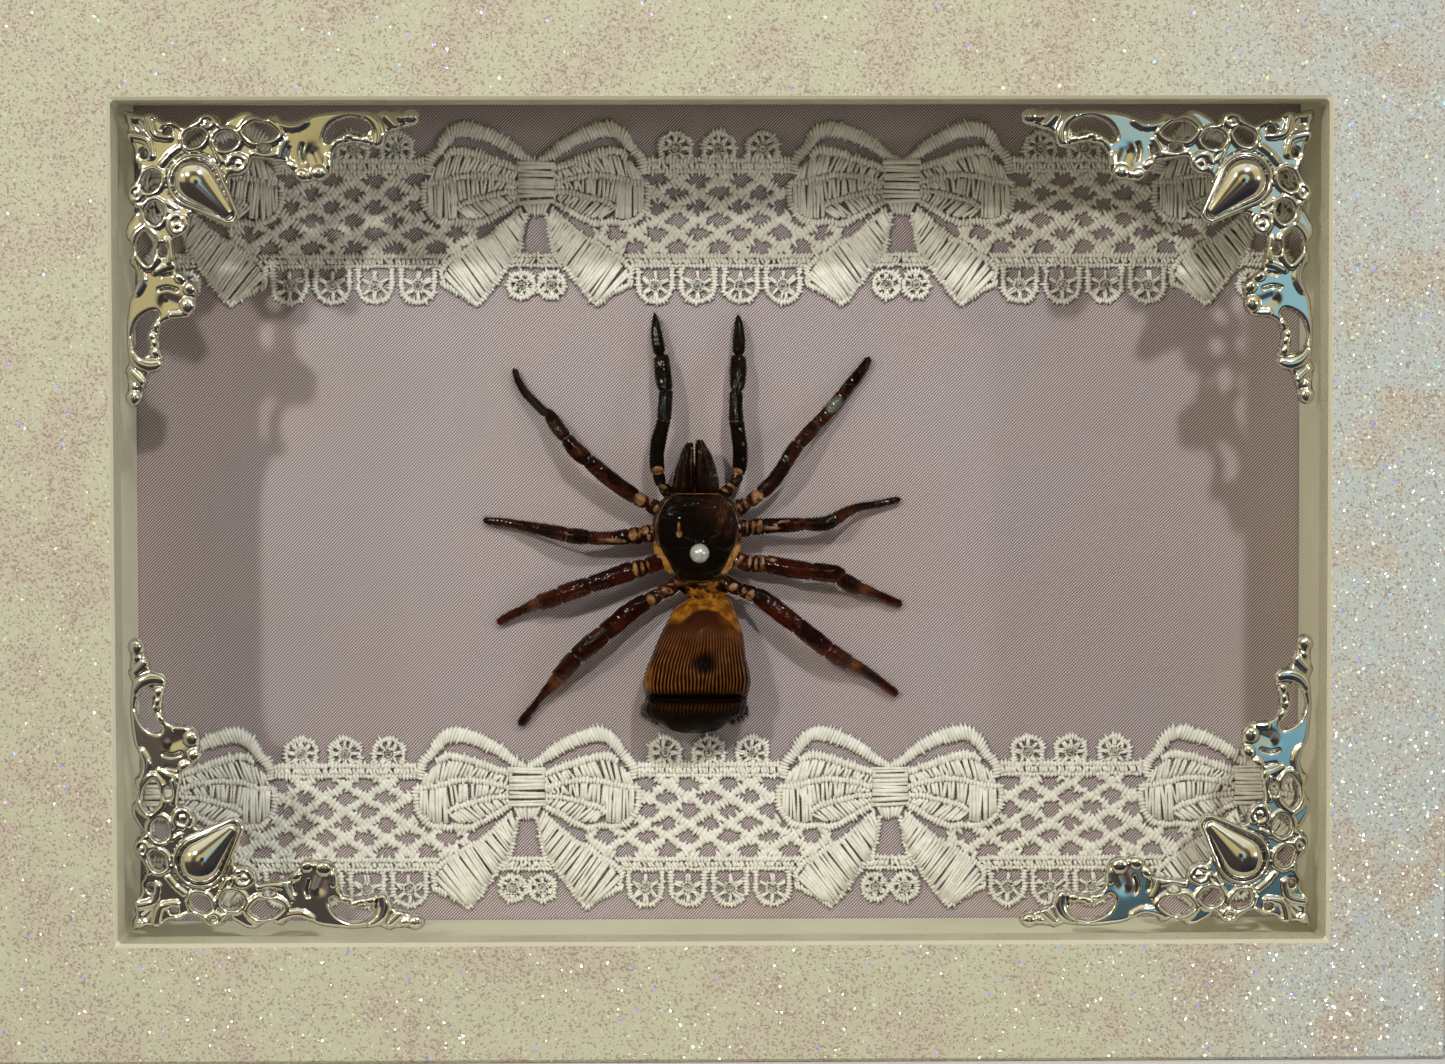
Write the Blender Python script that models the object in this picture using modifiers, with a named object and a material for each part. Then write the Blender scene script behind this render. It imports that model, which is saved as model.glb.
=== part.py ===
"""Framed trapdoor spider: a glazed shadow box with a pinned spider, two lace bands and four cast corners.

The box stands upright on its bottom rail. X runs along its width, its front faces -Y, +Z is up, and the
origin lies in the middle of its footprint. Lengths are metres, written as millimetres times MM. What lies
in the box was placed by sight lines through the photograph, so such places are pairs of its pixels.
"""
import math

import bmesh
import bpy
from mathutils import Euler, Matrix, Vector

MM = 0.001
GAP = 0.3 * MM

# Driving sizes of the shadow box
SIGHT_WIDTH = 165.4 * MM
SIGHT_HEIGHT = 114.8 * MM
RAIL_FACE = 16.6 * MM
BOX_DEPTH = 46.0 * MM
LIP_DEPTH = 7.1 * MM
REBATE = 6.0 * MM
GLASS_THICK = 2.0 * MM
LINER_SETBACK = 2.0 * MM
LINER_THICK = 2.6 * MM
SATIN_BEHIND = 35.3 * MM
SATIN_THICK = 0.4 * MM
FOAM_THICK = 5.0 * MM
BACK_THICK = 2.6 * MM

OUTER_WIDTH = SIGHT_WIDTH + 2 * RAIL_FACE
OUTER_HEIGHT = SIGHT_HEIGHT + 2 * RAIL_FACE
MIDDLE = OUTER_HEIGHT / 2
FRONT = -BOX_DEPTH / 2

# Where the photograph was taken from, for the sight lines
EYE = Vector((-5.5 * MM, FRONT - 469.2 * MM, MIDDLE + 18.0 * MM))
EYE_PAN, EYE_DIP, EYE_ROLL = 0.01184, 0.04106, -0.00226
EYE_FOCAL = 3450.0
PICTURE_CENTRE = (722.5, 532.0)
EYE_TURN = (Euler((math.pi / 2 - EYE_DIP, 0, -EYE_PAN)).to_matrix() @ Matrix.Rotation(EYE_ROLL, 3, "Z"))


def spot(u, v, behind):
    """The point that pixel (u, v) shows on the plane that lies `behind` the moulding's face."""
    ray = EYE_TURN @ Vector((u - PICTURE_CENTRE[0], PICTURE_CENTRE[1] - v, -EYE_FOCAL))
    return EYE + ray * ((FRONT + behind - EYE.y) / ray.y)


def over_satin(u, v, lift):
    """The point that pixel (u, v) shows at height `lift` over the satin, towards the viewer."""
    return spot(u, v, SATIN_BEHIND - lift)


for old in list(bpy.data.objects):
    bpy.data.objects.remove(old)

PARTS = bpy.data.collections.new("framed_trapdoor_spider")
CUTTERS = bpy.data.collections.new("cutters")
for group in (PARTS, CUTTERS):
    bpy.context.scene.collection.children.link(group)


def paint(name, colour, roughness, metallic=0.0):
    """A plain material with the part's own colour."""
    material = bpy.data.materials.new(name)
    material.use_nodes = True
    shader = material.node_tree.nodes["Principled BSDF"]
    shader.inputs["Base Color"].default_value = (*colour, 1.0)
    shader.inputs["Roughness"].default_value = roughness
    shader.inputs["Metallic"].default_value = metallic
    return material


CREAM = paint("cream_paint", (0.62, 0.60, 0.46), 0.5)
PLAIN_GLASS = paint("clear_glass", (0.9, 0.95, 0.93), 0.02)
PINK_SATIN = paint("pink_satin", (0.46, 0.34, 0.35), 0.4)
FOAM = paint("white_foam", (0.85, 0.85, 0.83), 0.9)
FIBREBOARD = paint("brown_fibreboard", (0.32, 0.21, 0.12), 0.8)
STEEL = paint("steel", (0.6, 0.6, 0.6), 0.3, 1.0)
BRIGHT_CAST = paint("bright_cast_metal", (0.85, 0.85, 0.82), 0.12, 1.0)
WHITE_THREAD = paint("white_thread", (0.78, 0.78, 0.7), 0.8)
BLACK_SHELL = paint("black_brown_shell", (0.03, 0.016, 0.01), 0.25)
RED_SHELL = paint("red_brown_shell", (0.12, 0.04, 0.02), 0.3)
TAN_SKIN = paint("tan_brown_skin", (0.22, 0.12, 0.04), 0.45)
PEARL = paint("pearl", (0.85, 0.84, 0.8), 0.2)


def add(name, mesh, material, group=PARTS):
    """Put a mesh into the part as one named object."""
    thing = bpy.data.objects.new(name, mesh)
    group.objects.link(thing)
    if material:
        mesh.materials.append(material)
    return thing


def block(name, low, high, material, group=PARTS):
    """A rectangular block between two opposite corners."""
    low, high = Vector(low), Vector(high)
    form = bmesh.new()
    bmesh.ops.create_cube(form, size=1.0)
    bmesh.ops.scale(form, vec=high - low, verts=form.verts)
    mesh = bpy.data.meshes.new(name)
    form.to_mesh(mesh)
    form.free()
    thing = add(name, mesh, material, group)
    thing.location = (low + high) / 2
    return thing


def panel(name, width, height, behind, thick, material, group=PARTS):
    """A flat sheet or board centred on the opening, its front `behind` the moulding's face."""
    low = (-width / 2, FRONT + behind, MIDDLE - height / 2)
    high = (width / 2, FRONT + behind + thick, MIDDLE + height / 2)
    return block(name, low, high, material, group)


def rod(name, radius, front, back, place, sides, material, group=PARTS):
    """A round rod along Y at the place (x, z), between two depths in Y."""
    form = bmesh.new()
    bmesh.ops.create_cone(form, cap_ends=True, segments=sides, radius1=radius, radius2=radius,
                          depth=back - front)
    mesh = bpy.data.meshes.new(name)
    form.to_mesh(mesh)
    form.free()
    thing = add(name, mesh, material, group)
    thing.rotation_euler = (math.pi / 2, 0, 0)
    thing.location = (place[0], (front + back) / 2, place[1])
    return thing


def join_shapes(thing, tool, operation="DIFFERENCE"):
    """Cut `tool` out of `thing`, or join it on, and keep it as a hidden cutter."""
    boolean = thing.modifiers.new(operation.lower(), "BOOLEAN")
    boolean.operation = operation
    boolean.solver = "EXACT"
    boolean.object = tool
    tool.hide_render = True
    tool.display_type = "WIRE"


def round_edges(thing, width, segments):
    """Small rounded edges."""
    bevel = thing.modifiers.new("rounded_edges", "BEVEL")
    bevel.width = width
    bevel.segments = segments
    bevel.limit_method = "ANGLE"


def cut_sheet(name, outlines, front, thick, material, group=PARTS):
    """A flat piece standing in the XZ plane: closed outlines of (x, z) points, the inner ones being holes."""
    flat = bpy.data.curves.new(name, "CURVE")
    flat.dimensions = "2D"
    flat.fill_mode = "BOTH"
    flat.extrude = thick / 2
    for points in outlines:
        spline = flat.splines.new("POLY")
        spline.points.add(len(points) - 1)
        for point, (x, z) in zip(spline.points, points):
            point.co = (x, z, 0, 1)
        spline.use_cyclic_u = True
    guide = bpy.data.objects.new(name + "_outline", flat)
    CUTTERS.objects.link(guide)
    guide.rotation_euler = (math.pi / 2, 0, 0)
    guide.location = (0, front + thick / 2, 0)
    bpy.context.view_layer.update()
    mesh = bpy.data.meshes.new_from_object(guide.evaluated_get(bpy.context.evaluated_depsgraph_get()))
    place = guide.matrix_world.copy()
    bpy.data.objects.remove(guide)
    form = bmesh.new()
    form.from_mesh(mesh)
    bmesh.ops.remove_doubles(form, verts=form.verts, dist=0.00001)
    bmesh.ops.recalc_face_normals(form, faces=form.faces)
    form.to_mesh(mesh)
    form.free()
    thing = add(name, mesh, material, group)
    thing.matrix_world = place
    return thing


def loft(name, rings, material, group=PARTS):
    """A closed body through rings of equally many points, its two ends filled with fans."""
    form = bmesh.new()
    rows = [[form.verts.new(point) for point in ring] for ring in rings]
    for row, following in zip(rows, rows[1:]):
        for k in range(len(row)):
            after = (k + 1) % len(row)
            form.faces.new((row[k], row[after], following[after], following[k]))
    for row in (rows[0], rows[-1]):
        centre = form.verts.new(sum((vert.co for vert in row), Vector()) / len(row))
        for k in range(len(row)):
            form.faces.new((row[k], row[(k + 1) % len(row)], centre))
    bmesh.ops.recalc_face_normals(form, faces=form.faces)
    mesh = bpy.data.meshes.new(name)
    form.to_mesh(mesh)
    form.free()
    mesh.shade_smooth()
    return add(name, mesh, material, group)


# The shadow box: a moulding with a plain lip and a rebate, a pane, a liner and the boards behind
def build_box():
    rebate_width = SIGHT_WIDTH + 2 * REBATE
    rebate_height = SIGHT_HEIGHT + 2 * REBATE
    moulding = panel("frame_moulding", OUTER_WIDTH, OUTER_HEIGHT, 0, BOX_DEPTH, CREAM)
    sight = panel("sight_cutter", SIGHT_WIDTH, SIGHT_HEIGHT, -5 * MM, BOX_DEPTH, None, CUTTERS)
    rebate = panel("rebate_cutter", rebate_width, rebate_height, LIP_DEPTH, BOX_DEPTH, None, CUTTERS)
    join_shapes(moulding, sight)
    join_shapes(moulding, rebate)

    snug_width, snug_height = rebate_width - 2 * GAP, rebate_height - 2 * GAP
    glass_behind = LIP_DEPTH + GAP
    liner_behind = glass_behind + GLASS_THICK + GAP
    panel("glass_pane", snug_width, snug_height, glass_behind, GLASS_THICK, PLAIN_GLASS)
    liner_width = SIGHT_WIDTH + 2 * LINER_SETBACK
    liner_height = SIGHT_HEIGHT + 2 * LINER_SETBACK
    liner_deep = SATIN_BEHIND - GAP - liner_behind
    liner = panel("liner", liner_width + 2 * LINER_THICK, liner_height + 2 * LINER_THICK, liner_behind,
                  liner_deep, CREAM)
    hollow = panel("liner_cutter", liner_width, liner_height, liner_behind - MM, liner_deep + 2 * MM,
                   None, CUTTERS)
    join_shapes(liner, hollow)

    foam_behind = SATIN_BEHIND + SATIN_THICK + GAP
    back_behind = foam_behind + FOAM_THICK + GAP
    satin = panel("satin_panel", snug_width, snug_height, SATIN_BEHIND, SATIN_THICK, PINK_SATIN)
    foam = panel("foam_board", snug_width, snug_height, foam_behind, FOAM_THICK, FOAM)
    panel("back_board", snug_width, snug_height, back_behind, BACK_THICK, FIBREBOARD)
    add_back_tabs(moulding, back_behind + BACK_THICK + GAP, rebate_width, rebate_height)
    round_edges(moulding, 0.5 * MM, 1)
    return moulding, satin, foam


def add_back_tabs(moulding, behind, rebate_width, rebate_height):
    """Six flat steel points driven into the rebate walls, lying over the back board."""
    wide, long, deep, thick = 8.0 * MM, 13.0 * MM, 4.0 * MM, 0.6 * MM
    places = [(side * rebate_width / 4, edge, "Z") for side in (-1, 1) for edge in (-1, 1)]
    places += [(edge, 0, "X") for edge in (-1, 1)]
    for number, (along, edge, way) in enumerate(places, 1):
        if way == "Z":
            middle = Vector((along, 0, MIDDLE + edge * (rebate_height / 2 + deep - long / 2)))
            half = Vector((wide / 2, thick / 2, long / 2))
        else:
            middle = Vector((along * (rebate_width / 2 + deep - long / 2), 0, MIDDLE))
            half = Vector((long / 2, thick / 2, wide / 2))
        middle.y = FRONT + behind + thick / 2
        tab = "back_tab_%d" % number
        block(tab, middle - half, middle + half, STEEL)
        clear = half + Vector((GAP, GAP, GAP))
        join_shapes(moulding, block(tab + "_slot", middle - clear, middle + clear, None, CUTTERS))


# Two bands of corded lace: bows with net between them, an edge of medallions above and below.
# Places in a band are measured from a knot's axis and from the line of the lowest points.
LACE_THICK = 1.1 * MM
BOW_PITCH = 53.1
BAND_WIDTH = 168.6 * MM
BAND_END_CLEAR, HOLE_END_CLEAR = 0.4, 1.0
LOWER_BAND = (-28.2, -58.1)
UPPER_BAND = (-26.5, 30.0)
BOW_TOP = [(0, 21.9), (2.4, 23.3), (5.6, 25.8), (9.0, 27.3), (11.6, 27.3), (14.2, 25.6), (16.4, 24.3)]
TAIL_FOOT = [(4.7, 2.0), (7.3, 2.6), (8.8, 0.0), (10.8, 2.2), (13.6, 2.9)]
LOOP_SLOT = [(2.6, 21.2), (6.1, 23.4), (9.6, 24.7), (12.2, 24.0), (9.6, 23.1), (6.1, 21.9)]
TAIL_SLIT = [(2.6, 15.6), (6.2, 13.5), (8.6, 12.0), (7.6, 11.0), (5.0, 12.6)]
TAIL_TRIANGLE = [(-0.5, 13.4), (0.5, 13.4), (1.8, 8.1), (-1.8, 8.1)]
TAIL_HOLE = [(8.9, 9.4), (10.3, 11.4), (11.8, 9.6)]
TOP_MEDALLIONS, TOP_EDGE, TOP_MEDALLION_RISE = (-6.35, 0.0, 6.35), 22.2, 3.6
LOW_MEDALLIONS, LOW_EDGE, LOW_MEDALLION_DROP = (-9.3, -3.1, 3.1, 9.3), 3.6, 2.8
MEDALLION_HALF = 2.75
NET_CELL = (1.5, 1.0)
NET_PITCH, NET_ROW, NET_TOP = 5.83, 1.95, 16.6
NET_COUNTS = (3, 2, 3)


def mirrored(points):
    """The points from the far left to the far right of a bow, given its right half."""
    left = [(-x, z) for x, z in reversed(points) if x > 0]
    return left + points


def scallop(x, edge, rise):
    """The round outer edge of one medallion, standing `rise` off the band's edge."""
    return [(x - MEDALLION_HALF, edge), (x - 0.8 * MEDALLION_HALF, edge + 0.65 * rise), (x, edge + rise),
            (x + 0.8 * MEDALLION_HALF, edge + 0.65 * rise), (x + MEDALLION_HALF, edge)]


def band_edges():
    """The upper and the lower edge of one repeat, from one knot's left side to the next."""
    gap = BOW_PITCH / 2
    upper = mirrored(BOW_TOP)
    for offset in TOP_MEDALLIONS:
        x = gap + offset
        upper += scallop(x, TOP_EDGE, TOP_MEDALLION_RISE)
    lower = [(-x, z) for x, z in reversed(TAIL_FOOT)] + [(-2.3, 0.9), (0, 2.2), (2.3, 0.9)] + TAIL_FOOT
    for offset in LOW_MEDALLIONS:
        x = gap + offset
        lower += scallop(x, LOW_EDGE, -LOW_MEDALLION_DROP)
    return upper, lower


def net_cells():
    """The diamond openings of the net between two bows, in staggered rows."""
    gap = BOW_PITCH / 2
    wide, tall = NET_CELL
    cells = []
    for row, count in enumerate(NET_COUNTS):
        z = NET_TOP - row * NET_ROW
        for k in range(count):
            x = gap + (k - (count - 1) / 2) * NET_PITCH
            cells.append([(x - wide, z), (x, z + tall), (x + wide, z), (x, z - tall)])
    return cells


def lace_band(name, knot, foot):
    """One band, made longer than the box by whole repeats and trimmed at the liner's two walls."""
    upper, lower = band_edges()
    holes = [LOOP_SLOT, TAIL_SLIT, TAIL_HOLE]
    holes += [[(-x, z) for x, z in hole] for hole in holes]
    holes += [TAIL_TRIANGLE] + net_cells()
    repeats = [knot + k * BOW_PITCH for k in (-2, -1, 0, 1, 2)]
    half = BAND_WIDTH / MM / 2

    def trimmed(points):
        inside = [(x, z) for x, z in points if abs(x) < half - BAND_END_CLEAR]
        return [(-half, inside[0][1])] + inside + [(half, inside[-1][1])]

    top = trimmed([(x + start, z) for start in repeats for x, z in upper])
    bottom = trimmed([(x + start, z) for start in repeats for x, z in lower])
    outlines = [top + bottom[::-1]]
    for start in repeats:
        for hole in holes:
            placed = [(x + start, z) for x, z in hole]
            if all(abs(x) < half - HOLE_END_CLEAR for x, z in placed):
                outlines.append(placed)
    scaled = [[(x * MM, MIDDLE + (foot + z) * MM) for x, z in points] for points in outlines]
    front = FRONT + SATIN_BEHIND - GAP - LACE_THICK
    return cut_sheet(name, scaled, front, LACE_THICK, WHITE_THREAD)


# Four cast corners, all of one pattern. Places are (along, across) from the corner's own point, for the
# arm that lies along the top; the other arm mirrors it about the diagonal.
CORNER_INSET = 0.6
CORNER_THICK = 1.2 * MM
CORNER_LIFT = 0.1 * MM
ARM_OUTER = [(1.0, 0.2), (2.2, 0.8), (4.3, 0.6), (8.2, 2.3), (10.8, 0.8), (12.6, 0.9), (13.6, 2.0),
             (16.4, 0.4), (18.0, 0.7), (19.6, 1.5), (21.0, 0.8), (23.2, 1.7), (26.6, 0.8), (30.2, 0.4),
             (34.2, 0.6), (35.8, 0.2), (39.6, 0.1), (40.6, 0.9)]
ARM_INNER = [(40.3, 2.0), (36.4, 3.4), (35.4, 5.0), (34.0, 5.4), (31.0, 4.9), (29.2, 5.8), (28.9, 8.2),
             (28.0, 9.6), (25.4, 10.0), (23.6, 9.2), (22.4, 7.4), (17.8, 7.1), (16.6, 8.8), (15.0, 9.3)]
ARM_HOLES = [[(5.2, 3.0), (6.2, 2.3), (7.2, 3.1), (6.2, 3.8)],
             [(8.4, 4.4), (9.4, 3.2), (11.1, 2.9), (11.2, 4.0), (9.8, 4.9)],
             [(12.6, 5.0), (14.0, 3.3), (15.5, 5.1), (14.1, 5.5)],
             [(16.8, 3.2), (18.4, 1.9), (20.6, 3.3), (18.8, 4.3)],
             [(27.7, 3.9), (28.6, 2.4), (31.0, 1.4), (33.4, 2.2), (32.8, 3.4), (30.4, 3.6)]]
STONE_CENTRE, STONE_RADIUS, STONE_TIP = 9.9, 3.95, 15.8
STONE_STEPS = [(1.0, 0.05), (1.0, 1.6), (0.86, 1.9), (0.74, 1.5), (0.4, 2.8)]
STONE_SIDES = 14


def teardrop(scale, sides):
    """Points round a teardrop about the diagonal: an arc closed by two straight flanks to the tip."""
    radius = STONE_RADIUS * scale
    reach = (STONE_TIP - STONE_CENTRE) * math.sqrt(2) * scale
    flank = math.acos(radius / reach)
    points = [(reach, 0.0)]
    for k in range(sides - 1):
        angle = flank + (2 * math.pi - 2 * flank) * k / (sides - 2)
        points.append((radius * math.cos(angle), radius * math.sin(angle)))
    turn = math.cos(math.pi / 4)
    return [(STONE_CENTRE + (p - q) * turn, STONE_CENTRE + (p + q) * turn) for p, q in points]


def cast_corner(name, side, level):
    """One corner: a pierced plate with a domed teardrop stone in a raised rim joined on."""
    corner_x = side * (SIGHT_WIDTH / 2 - CORNER_INSET * MM)
    corner_z = MIDDLE + level * (SIGHT_HEIGHT / 2 - CORNER_INSET * MM)
    back = FRONT + LIP_DEPTH - CORNER_LIFT

    def place(points):
        return [(corner_x - side * a * MM, corner_z - level * b * MM) for a, b in points]

    def swapped(points):
        return [(b, a) for a, b in points]

    loop = ARM_OUTER + ARM_INNER + swapped(ARM_INNER)[::-1] + swapped(ARM_OUTER)[::-1]
    holes = ARM_HOLES + [swapped(hole) for hole in ARM_HOLES]
    outlines = [place(loop)] + [place(hole) for hole in holes]
    corner = cut_sheet(name, outlines, back - CORNER_THICK, CORNER_THICK, BRIGHT_CAST)
    rings = []
    for scale, rise in STONE_STEPS:
        rings.append([Vector((x, back - rise * MM, z)) for x, z in place(teardrop(scale, STONE_SIDES))])
    join_shapes(corner, loft(name + "_stone", rings, None, CUTTERS), "UNION")
    return corner


# The spider: shield and jaws, swollen abdomen with its ribbed disc, two palps and eight legs.
# A shield or jaw station gives the pixel row and half width, then the heights of belly and back over the
# satin. An abdomen station gives the row and height of its back and of its belly, and the half width.
BODY_AXIS = 696.8
PIN_AT = (699.5, 553.0)
SHIELD = [(492.5, 23, 2.6, 6.0), (495, 30, 1.8, 7.0), (503, 37, 1.2, 7.9), (514, 41.5, 1.0, 8.3),
          (528, 44, 0.9, 8.1), (541, 43.5, 0.9, 7.6), (554, 40, 1.0, 7.2), (566, 33, 1.2, 6.8),
          (575, 25, 1.6, 6.4), (582.5, 16, 2.4, 5.8)]
SHIELD_EDGE, SHIELD_SHELF, BELLY_SHARE = 5.0, 4.6, 0.66
JAW = [(442, 3.0, 4.8, 6.6), (447, 6.0, 3.6, 7.4), (457, 8.8, 2.6, 8.0), (470, 10.4, 2.0, 8.2),
       (482, 11.0, 1.9, 7.8), (489.5, 10.6, 2.4, 6.8)]
JAW_CLEFT = 1.3
ABDOMEN = [((587, 4.8), (587, 2.4), 11), ((593, 6.4), (592, 1.6), 25), ((603, 8.4), (602, 1.1), 32),
           ((618, 10.2), (616, 0.8), 39), ((636, 11.6), (632, 0.6), 44), ((655, 12.6), (650, 0.5), 49),
           ((672, 13.2), (668, 0.5), 52.5), ((686, 13.3), (688, 0.5), 53), ((696, 12.6), (706, 0.6), 51.5),
           ((702, 13.0), (719, 0.5), 53.5), ((709, 13.0), (727, 0.6), 52.5), ((713, 12.0), (728, 1.4), 45),
           ((716, 10.6), (730, 2.4), 37)]
ABDOMEN_SIDES, SHIELD_SIDES, JAW_SIDES = 32, 20, 12
ROUND_STEP = math.sin(2 * math.pi / SHIELD_SIDES)
RIB_RISE = 0.02


def body_ring(back, belly, half_width, sides, shape):
    """One ring: `shape` gives (across, up) on a unit ring from the angle round it."""
    axis = over_satin(BODY_AXIS, back[0], back[1] * MM)
    foot = over_satin(BODY_AXIS, belly[0], belly[1] * MM)
    width = (over_satin(BODY_AXIS + half_width, back[0], back[1] * MM) - axis).x
    ring = []
    for k in range(sides):
        across, up = shape(2 * math.pi * k / sides, k)
        point = foot.lerp(axis, 0.5 + 0.5 * up)
        ring.append(point + Vector((across * width, 0, 0)))
    return ring


def shield_body():
    """The shield: a low dome that ends in a thin shelf, with the narrower body under it."""
    rings = []
    for row, half, belly, back in SHIELD:
        margin, shelf = (2 * (height - belly) / (back - belly) - 1 for height in (SHIELD_EDGE, SHIELD_SHELF))

        def shape(angle, k):
            across, up = math.cos(angle), math.sin(angle)
            if up > -0.01:
                return across, margin + (1 - margin) * max(up, 0.0) ** 0.8
            return across * BELLY_SHARE, shelf + (-1 - shelf) * (abs(up) - ROUND_STEP) / (1 - ROUND_STEP)

        rings.append(body_ring((row, back), (row, belly), half, SHIELD_SIDES, shape))
    return loft("carapace", rings, BLACK_SHELL)


def abdomen_body():
    """The abdomen: lengthwise ribs on a swelling sack, a groove, then the sloping ribbed disc."""
    def shape(angle, k):
        rib = 1 + RIB_RISE * (1 if k % 2 else -1)
        return math.cos(angle) * rib, math.sin(angle) * rib

    rings = [body_ring(back, belly, half, ABDOMEN_SIDES, shape) for back, belly, half in ABDOMEN]
    return loft("abdomen", rings, TAN_SKIN)


def jaw(name, side):
    """One long jaw of the pair in front of the shield, its inner side straight along the cleft."""
    rings = []
    for row, half, belly, back in JAW:
        middle = BODY_AXIS + side * (JAW_CLEFT + half)
        top = over_satin(middle, row, back * MM)
        foot = over_satin(middle, row, belly * MM)
        width = (over_satin(middle + half, row, back * MM) - top).x
        ring = []
        for k in range(JAW_SIDES):
            angle = 2 * math.pi * k / JAW_SIDES
            point = foot.lerp(top, 0.5 + 0.5 * math.sin(angle))
            ring.append(point + Vector((math.cos(angle) * width, 0, 0)))
        rings.append(ring)
    return loft(name, rings, BLACK_SHELL)


# Joints of each limb from its tip to its base, in pixels, with the joints' heights over the satin
# and the half widths of the lengths between them in millimetres. SWELLING gives, along one such length,
# the share of its half width that the limb has there.
LEG_LIFTS = (1.1, 1.6, 2.9, 4.5, 5.0, 3.4, 2.7)
PALP_LIFTS = (1.5, 2.6, 4.2, 5.0, 3.9, 3.0)
SLIM = (0.62, 0.8, 1.05, 1.15, 1.3, 1.1)
STOUT = (0.62, 0.66, 1.3, 1.35, 1.48, 1.15)
PALP = (1.0, 1.22, 1.1, 1.2, 0.95)
SWELLING = ((0.14, 0.86), (0.55, 1.0), (0.93, 0.78))
TIP_SHARE, BASE_SHARE = 0.55, 0.7
LIMBS = {
    "palp_left": (PALP_LIFTS, PALP, [(655, 313), (659, 354), (665.5, 388), (664.5, 419), (657, 467),
                                     (664, 488)]),
    "palp_right": (PALP_LIFTS, PALP, [(738, 315), (738.5, 353), (737, 389), (736.5, 420), (738, 468),
                                      (730, 488)]),
    "leg_left_1": (LEG_LIFTS, SLIM, [(512, 369), (526, 392), (544, 409), (567, 438), (589, 460), (636, 491),
                                     (662, 503)]),
    "leg_right_1": (LEG_LIFTS, SLIM, [(868, 357), (846, 389), (832, 407), (813, 424), (790, 447), (758, 491),
                                      (732, 504)]),
    "leg_left_2": (LEG_LIFTS, SLIM, [(485, 520), (512, 524), (531, 526), (557, 531), (588, 536), (630, 537),
                                     (662, 534)]),
    "leg_right_2": (LEG_LIFTS, SLIM, [(900, 498), (876, 504), (851, 511), (829, 521), (802, 524), (759, 527),
                                      (731, 527)]),
    "leg_left_3": (LEG_LIFTS, STOUT, [(498, 623), (514, 615), (537, 605), (560, 594), (589, 584), (634, 568),
                                      (662, 561)]),
    "leg_right_3": (LEG_LIFTS, STOUT, [(901, 604), (882, 594), (860, 586), (838, 577), (809, 571), (762, 565),
                                       (732, 560)]),
    "leg_left_4": (LEG_LIFTS, STOUT, [(522, 722), (538, 700), (558, 678), (586, 652), (606, 634), (648, 600),
                                      (670, 582)]),
    "leg_right_4": (LEG_LIFTS, STOUT, [(898, 694), (877, 677), (850, 664), (825, 649), (796, 629), (750, 596),
                                       (725, 580)]),
}


def limb(name, lifts, half_widths, joints):
    """A jointed limb: each length swells in its middle and narrows at its two joints."""
    points = [over_satin(u, v, lift * MM) for (u, v), lift in zip(joints, lifts)]
    stations = [(points[0], TIP_SHARE * half_widths[0])]
    for start, end, half in zip(points, points[1:], half_widths):
        stations += [(start.lerp(end, along), share * half) for along, share in SWELLING]
    stations.append((points[-1], BASE_SHARE * half_widths[-1]))
    curve = bpy.data.curves.new(name, "CURVE")
    curve.dimensions = "3D"
    curve.bevel_depth = MM
    curve.bevel_resolution = 1
    curve.use_fill_caps = True
    spline = curve.splines.new("POLY")
    spline.points.add(len(stations) - 1)
    for point, (place, radius) in zip(spline.points, stations):
        point.co = (*place, 1)
        point.radius = radius
    spline.use_smooth = True
    curve.materials.append(BLACK_SHELL if half_widths is PALP else RED_SHELL)
    thing = bpy.data.objects.new(name, curve)
    PARTS.objects.link(thing)
    return thing


# A steel pin through shield, satin and foam, with a pearl head
PIN_RADIUS = 0.33 * MM
PIN_HOLE = PIN_RADIUS + GAP
PEARL_RADIUS = 1.48 * MM
PEARL_LIFT = 11.6 * MM
PIN_DEPTH_IN_FOAM = 3.6 * MM


def pin_and_pearl(pierced):
    """The pin and its pearl, with a clear hole for the shaft through each piece in `pierced`."""
    head = over_satin(*PIN_AT, PEARL_LIFT)
    place = (head.x, head.z)
    tip = FRONT + SATIN_BEHIND + SATIN_THICK + GAP + PIN_DEPTH_IN_FOAM
    rod("pin_shaft", PIN_RADIUS, head.y, tip, place, 8, STEEL)
    form = bmesh.new()
    bmesh.ops.create_uvsphere(form, u_segments=14, v_segments=9, radius=PEARL_RADIUS)
    mesh = bpy.data.meshes.new("pin_pearl")
    form.to_mesh(mesh)
    form.free()
    mesh.shade_smooth()
    pearl = add("pin_pearl", mesh, PEARL)
    pearl.location = head
    hole = rod("pin_hole", PIN_HOLE, head.y - GAP, tip + GAP, place, 8, None, CUTTERS)
    for thing in pierced + [pearl]:
        join_shapes(thing, hole)


moulding, satin, foam = build_box()
lace_band("lace_lower", *LOWER_BAND)
lace_band("lace_upper", *UPPER_BAND)
for level_name, level in (("top", 1), ("bottom", -1)):
    for side_name, side in (("left", -1), ("right", 1)):
        cast_corner("corner_%s_%s" % (level_name, side_name), side, level)
carapace = shield_body()
abdomen_body()
jaw("chelicera_left", -1)
jaw("chelicera_right", 1)
for limb_name, (lifts, half_widths, joints) in LIMBS.items():
    limb(limb_name, lifts, half_widths, joints)
pin_and_pearl([carapace, satin, foam])
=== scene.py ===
"""Looks of the framed trapdoor spider: moulding, satin, lace, plated corners, spider and pin.

All lengths are metres in the frame's own axes: X along the box's width, its front faces -Y, +Z is up.
"""
import math

import bpy
import numpy as np
from mathutils import Euler, Matrix, Vector


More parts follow.
